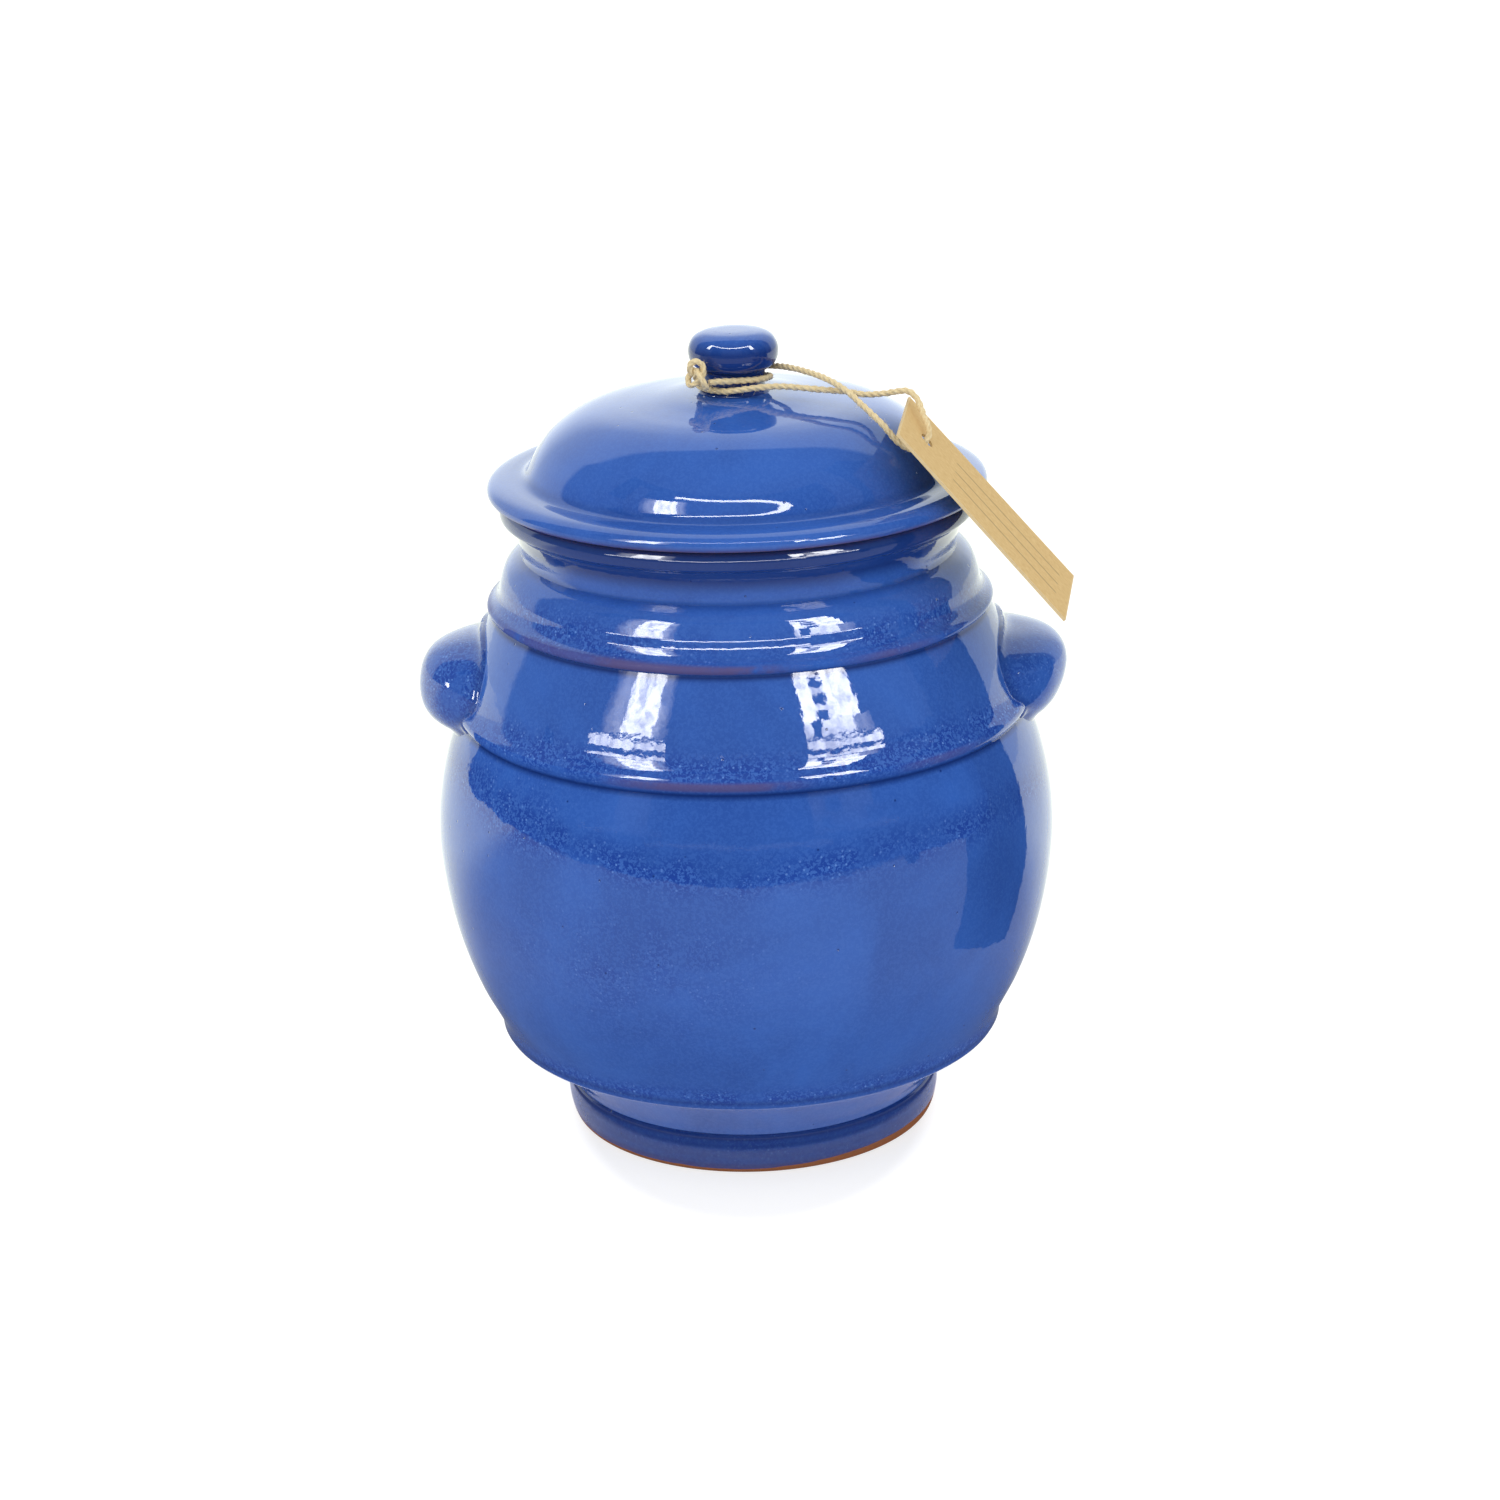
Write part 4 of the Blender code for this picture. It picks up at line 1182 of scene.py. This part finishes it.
def makeTable(values):
    shape = bmesh.new()
    bmesh.ops.create_circle(shape, cap_ends=True, segments=values["tableSides"],
                            radius=values["tableRadius"])
    bmesh.ops.translate(shape, vec=values["tableCentre"], verts=shape.verts)
    material, tree, shader = newMaterial("paleTable")
    light = addNode(tree, "ShaderNodeLightPath")
    seen = light.outputs["Is Camera Ray"]
    place = objectPlace(tree)
    away = lengthNode(tree, place)
    back = addNode(tree, "ShaderNodeSeparateXYZ", {"Vector": place}).outputs["Y"]
    # painted reflection: what gloss sees of the table, set ring by ring round the jar
    mirrored = values["tableUnder"]
    for measure, span, tone in ((away, "nearRange", "tableNear"), (away, "farRange", "tableFar"),
                                (back, "behindRange", "tableBehind")):
        mirrored = mixColour(tree, rampNode(tree, measure, *values[span]), mirrored, values[tone])
    shade = mixColour(tree, light.outputs["Is Glossy Ray"], values["tableColour"], mirrored)
    shade = mixColour(tree, seen, shade, values["tableShade"])
    tree.links.new(shade, shader.inputs["Base Color"])
    shader.inputs["Roughness"].default_value = values["matt"]
    shader.inputs["Specular IOR Level"].default_value = values["tableShine"]
    # painted light for the camera, less in an oval round the foot
    ovalAway = lengthNode(tree, scaledCoordinates(tree, place, values["liftScale"]))
    lift = rampNode(tree, ovalAway, *values["liftReach"], *values["cameraLift"])
    tree.links.new(times(tree, seen, lift), shader.inputs["Emission Strength"])
    shader.inputs["Emission Color"].default_value = (1.0, 1.0, 1.0, 1.0)
    table = finishPiece("table", shape, material)


# white to the camera, an even sky to matt surfaces, and a dim front and bright back to gloss
def makeWorld(values):
    world = bpy.data.worlds.new("studio")
    bpy.context.scene.world = world
    world.use_nodes = True
    tree = world.node_tree
    tree.nodes.clear()
    way = addNode(tree, "ShaderNodeTexCoord").outputs["Generated"]
    back = addNode(tree, "ShaderNodeSeparateXYZ", {"Vector": way}).outputs["Y"]
    mirrored = values["room"]
    for span, tone in (("backdropLowRange", "backdropLow"), ("backdropRange", "backdrop")):
        mirrored = mixColour(tree, rampNode(tree, back, *values[span]), mirrored, values[tone])
    even = [values["skyLevel"]] * 3 + [1.0]
    light = addNode(tree, "ShaderNodeLightPath")
    colour = mixColour(tree, light.outputs["Is Glossy Ray"], even, mirrored)
    colour = mixColour(tree, light.outputs["Is Camera Ray"], colour, (1.0, 1.0, 1.0, 1.0))
    background = addNode(tree, "ShaderNodeBackground", {"Color": colour, "Strength": 1.0})
    output = addNode(tree, "ShaderNodeOutputWorld")
    tree.links.new(background.outputs[0], output.inputs["Surface"])


# a direction from the jar: azimuth from the front towards +X, then up
def outward(azimuth, elevation):
    a, e = math.radians(azimuth), math.radians(elevation)
    return Vector((math.sin(a) * math.cos(e), -math.cos(a) * math.cos(e), math.sin(e)))


# plain light, or light with upright streaks in it; each pane's own share is in its attribute
def glowMaterial(name, strength, streaks):
    material = bpy.data.materials.new(name)
    material.use_nodes = True
    tree = material.node_tree
    tree.nodes.clear()
    level = times(tree, attributeNode(tree, "share"), strength)
    if streaks > 0:
        tall = scaledCoordinates(tree, objectPlace(tree), stageValues["streaks"])
        uneven = noiseNode(tree, tall, *stageValues["streakNoise"])
        uneven = rampNode(tree, uneven, *stageValues["streakRange"], 1.0 - streaks, 1.0)
        level = times(tree, level, uneven)
    glow = addNode(tree, "ShaderNodeEmission", {"Strength": level})
    output = addNode(tree, "ShaderNodeOutputMaterial")
    tree.links.new(glow.outputs[0], output.inputs["Surface"])
    return material


def hideFromAllButGloss(card):
    for ray in ("camera", "diffuse", "shadow", "transmission", "volume_scatter"):
        setattr(card, "visible_" + ray, False)


# lit panes round the jar, seen only in the gloss of some pieces. A pane is (azimuths, elevations, share at
# its left and right), and bends says how many degrees a pane has dropped by far out on the left and right
def makePanes(name, panes, material, shownIn, bends=(4.0, 4.0), reach=2.0):
    shape = bmesh.new()
    layer = shape.verts.layers.float.new("share")
    eye = Vector((0.0, 0.0, stageValues["eyeHeight"]))
    for (fromAzimuth, toAzimuth), (low, high), (leftShare, rightShare) in panes:
        steps = max(2, math.ceil((toAzimuth - fromAzimuth) / stageValues["paneStep"]))
        grid = bmesh.ops.create_grid(shape, x_segments=steps, y_segments=1, size=1.0)
        for vert in grid["verts"]:
            across = (vert.co.x + 1) / 2
            azimuth = fromAzimuth + (toAzimuth - fromAzimuth) * across
            bend = bends[0] if azimuth < 0 else bends[1]
            drop = bend * (azimuth / stageValues["bendAt"]) ** 2
            elevation = low + (high - low) * (vert.co.y + 1) / 2 - drop
            vert.co = eye + outward(azimuth, elevation) * reach
            vert[layer] = leftShare + (rightShare - leftShare) * across
    card = finishPiece(name, shape, material)
    receivers = bpy.data.collections.new(name + "Receivers")
    for piece in shownIn:
        receivers.objects.link(piece)
    card.light_linking.receiver_collection = receivers
    hideFromAllButGloss(card)


# a dark board close by on the right, which darkens a strip of the belly's gloss
def makeDarkBoard(values):
    shape = bmesh.new()
    bmesh.ops.create_grid(shape, x_segments=1, y_segments=1, size=0.5)
    stand = Matrix.Translation(values["boardPlace"]) @ Matrix.Rotation(math.pi / 2, 4, "Y")
    bmesh.ops.scale(shape, vec=values["boardSize"], verts=shape.verts)
    bmesh.ops.transform(shape, matrix=stand, verts=shape.verts)
    material, tree, shader = newMaterial("darkBoard")
    shader.inputs["Base Color"].default_value = values["boardColour"]
    shader.inputs["Roughness"].default_value = values["matt"]
    hideFromAllButGloss(finishPiece("darkBoard", shape, material))


def sunLamp(name, azimuth, elevation, spread, strength):
    data = bpy.data.lights.new(name, "SUN")
    data.energy = strength
    data.angle = math.radians(spread)
    lamp = linkObject(name, data)
    out = outward(azimuth, elevation)
    place = out * stageValues["lampDistance"] + Vector((0.0, 0.0, stageValues["lampAim"]))
    lamp.matrix_world = Matrix.Translation(place) @ out.to_track_quat("Z", "Y").to_matrix().to_4x4()
    lamp.visible_glossy = False


makeTable(stageValues)
makeWorld(stageValues)
windowGlow = glowMaterial("windowGlow", *stageValues["windowLight"])
stripGlow = glowMaterial("stripGlow", *stageValues["stripLight"])
full, part = (1.0, 1.0), (0.8, 0.8)
tall, sill = (15, 43), (11.6, 14.4)
lowWindows = [
    ((-61, -51), tall, (0.0, 0.32)), ((-51, -37), tall, full), ((-37, -31), tall, (0.34, 0.04)),
    ((25, 31), (22, 32), full), ((25, 28), (15, 22), part), ((31, 37), (26, 28), part),
    ((37, 50), (22, 32), full), ((32, 46), (15, 22), part), ((46, 54), (15, 22), (0.26, 0.1)),
]
highWindows = [
    ((-61, -51), (43, 50), (0.0, 0.32)), ((-51, -37), (43, 50), full), ((25, 31), (32, 50), full),
    ((31, 37), (32, 33.5), part), ((31, 37), (35.6, 50), full), ((37, 50), (32, 50), full),
    ((-64, -31), sill, part), ((25, 57), sill, part),
]
lugBracket = [((58, 84), (3.6, 7), full), ((56, 62), (-6.5, 7), full), ((75, 86), (-2.5, 7), full)]
knobBracket = [((-76, 54), (46.6, 50.5), full), ((-82, -70), (32, 50.5), full), ((49, 60), (32, 50.5), full)]
potStrip = [((-37, 31), (7.6, 9.7), full)]
lidStrip = [((-41, 34), (44.6, 47.4), full)]
leftLugPane = [((-86, -81), (-1, 6), full)]
makePanes("lowWindows", lowWindows, windowGlow, [pot, lid, rightLug])
makePanes("highWindows", highWindows, windowGlow, [pot, rightLug])
makePanes("potStrip", potStrip, stripGlow, [pot], (3.7, 3.7), 1.9)
makePanes("leftLugPane", leftLugPane, windowGlow, [leftLug], (0.0, 0.0))
makePanes("rightLugPane", lugBracket, windowGlow, [rightLug], (0.0, 0.0), 1.2)
makePanes("lidStrip", lidStrip, stripGlow, [lid], (0.0, 29.0), 1.9)
makePanes("knobStrip", knobBracket, stripGlow, [knob], (0.0, 0.0), 1.8)
makeDarkBoard(stageValues)
for lampName, lamp in stageValues["lamps"].items():
    sunLamp(lampName, *lamp)
print("stage set")

bpy.context.scene.view_settings.view_transform = "Standard"
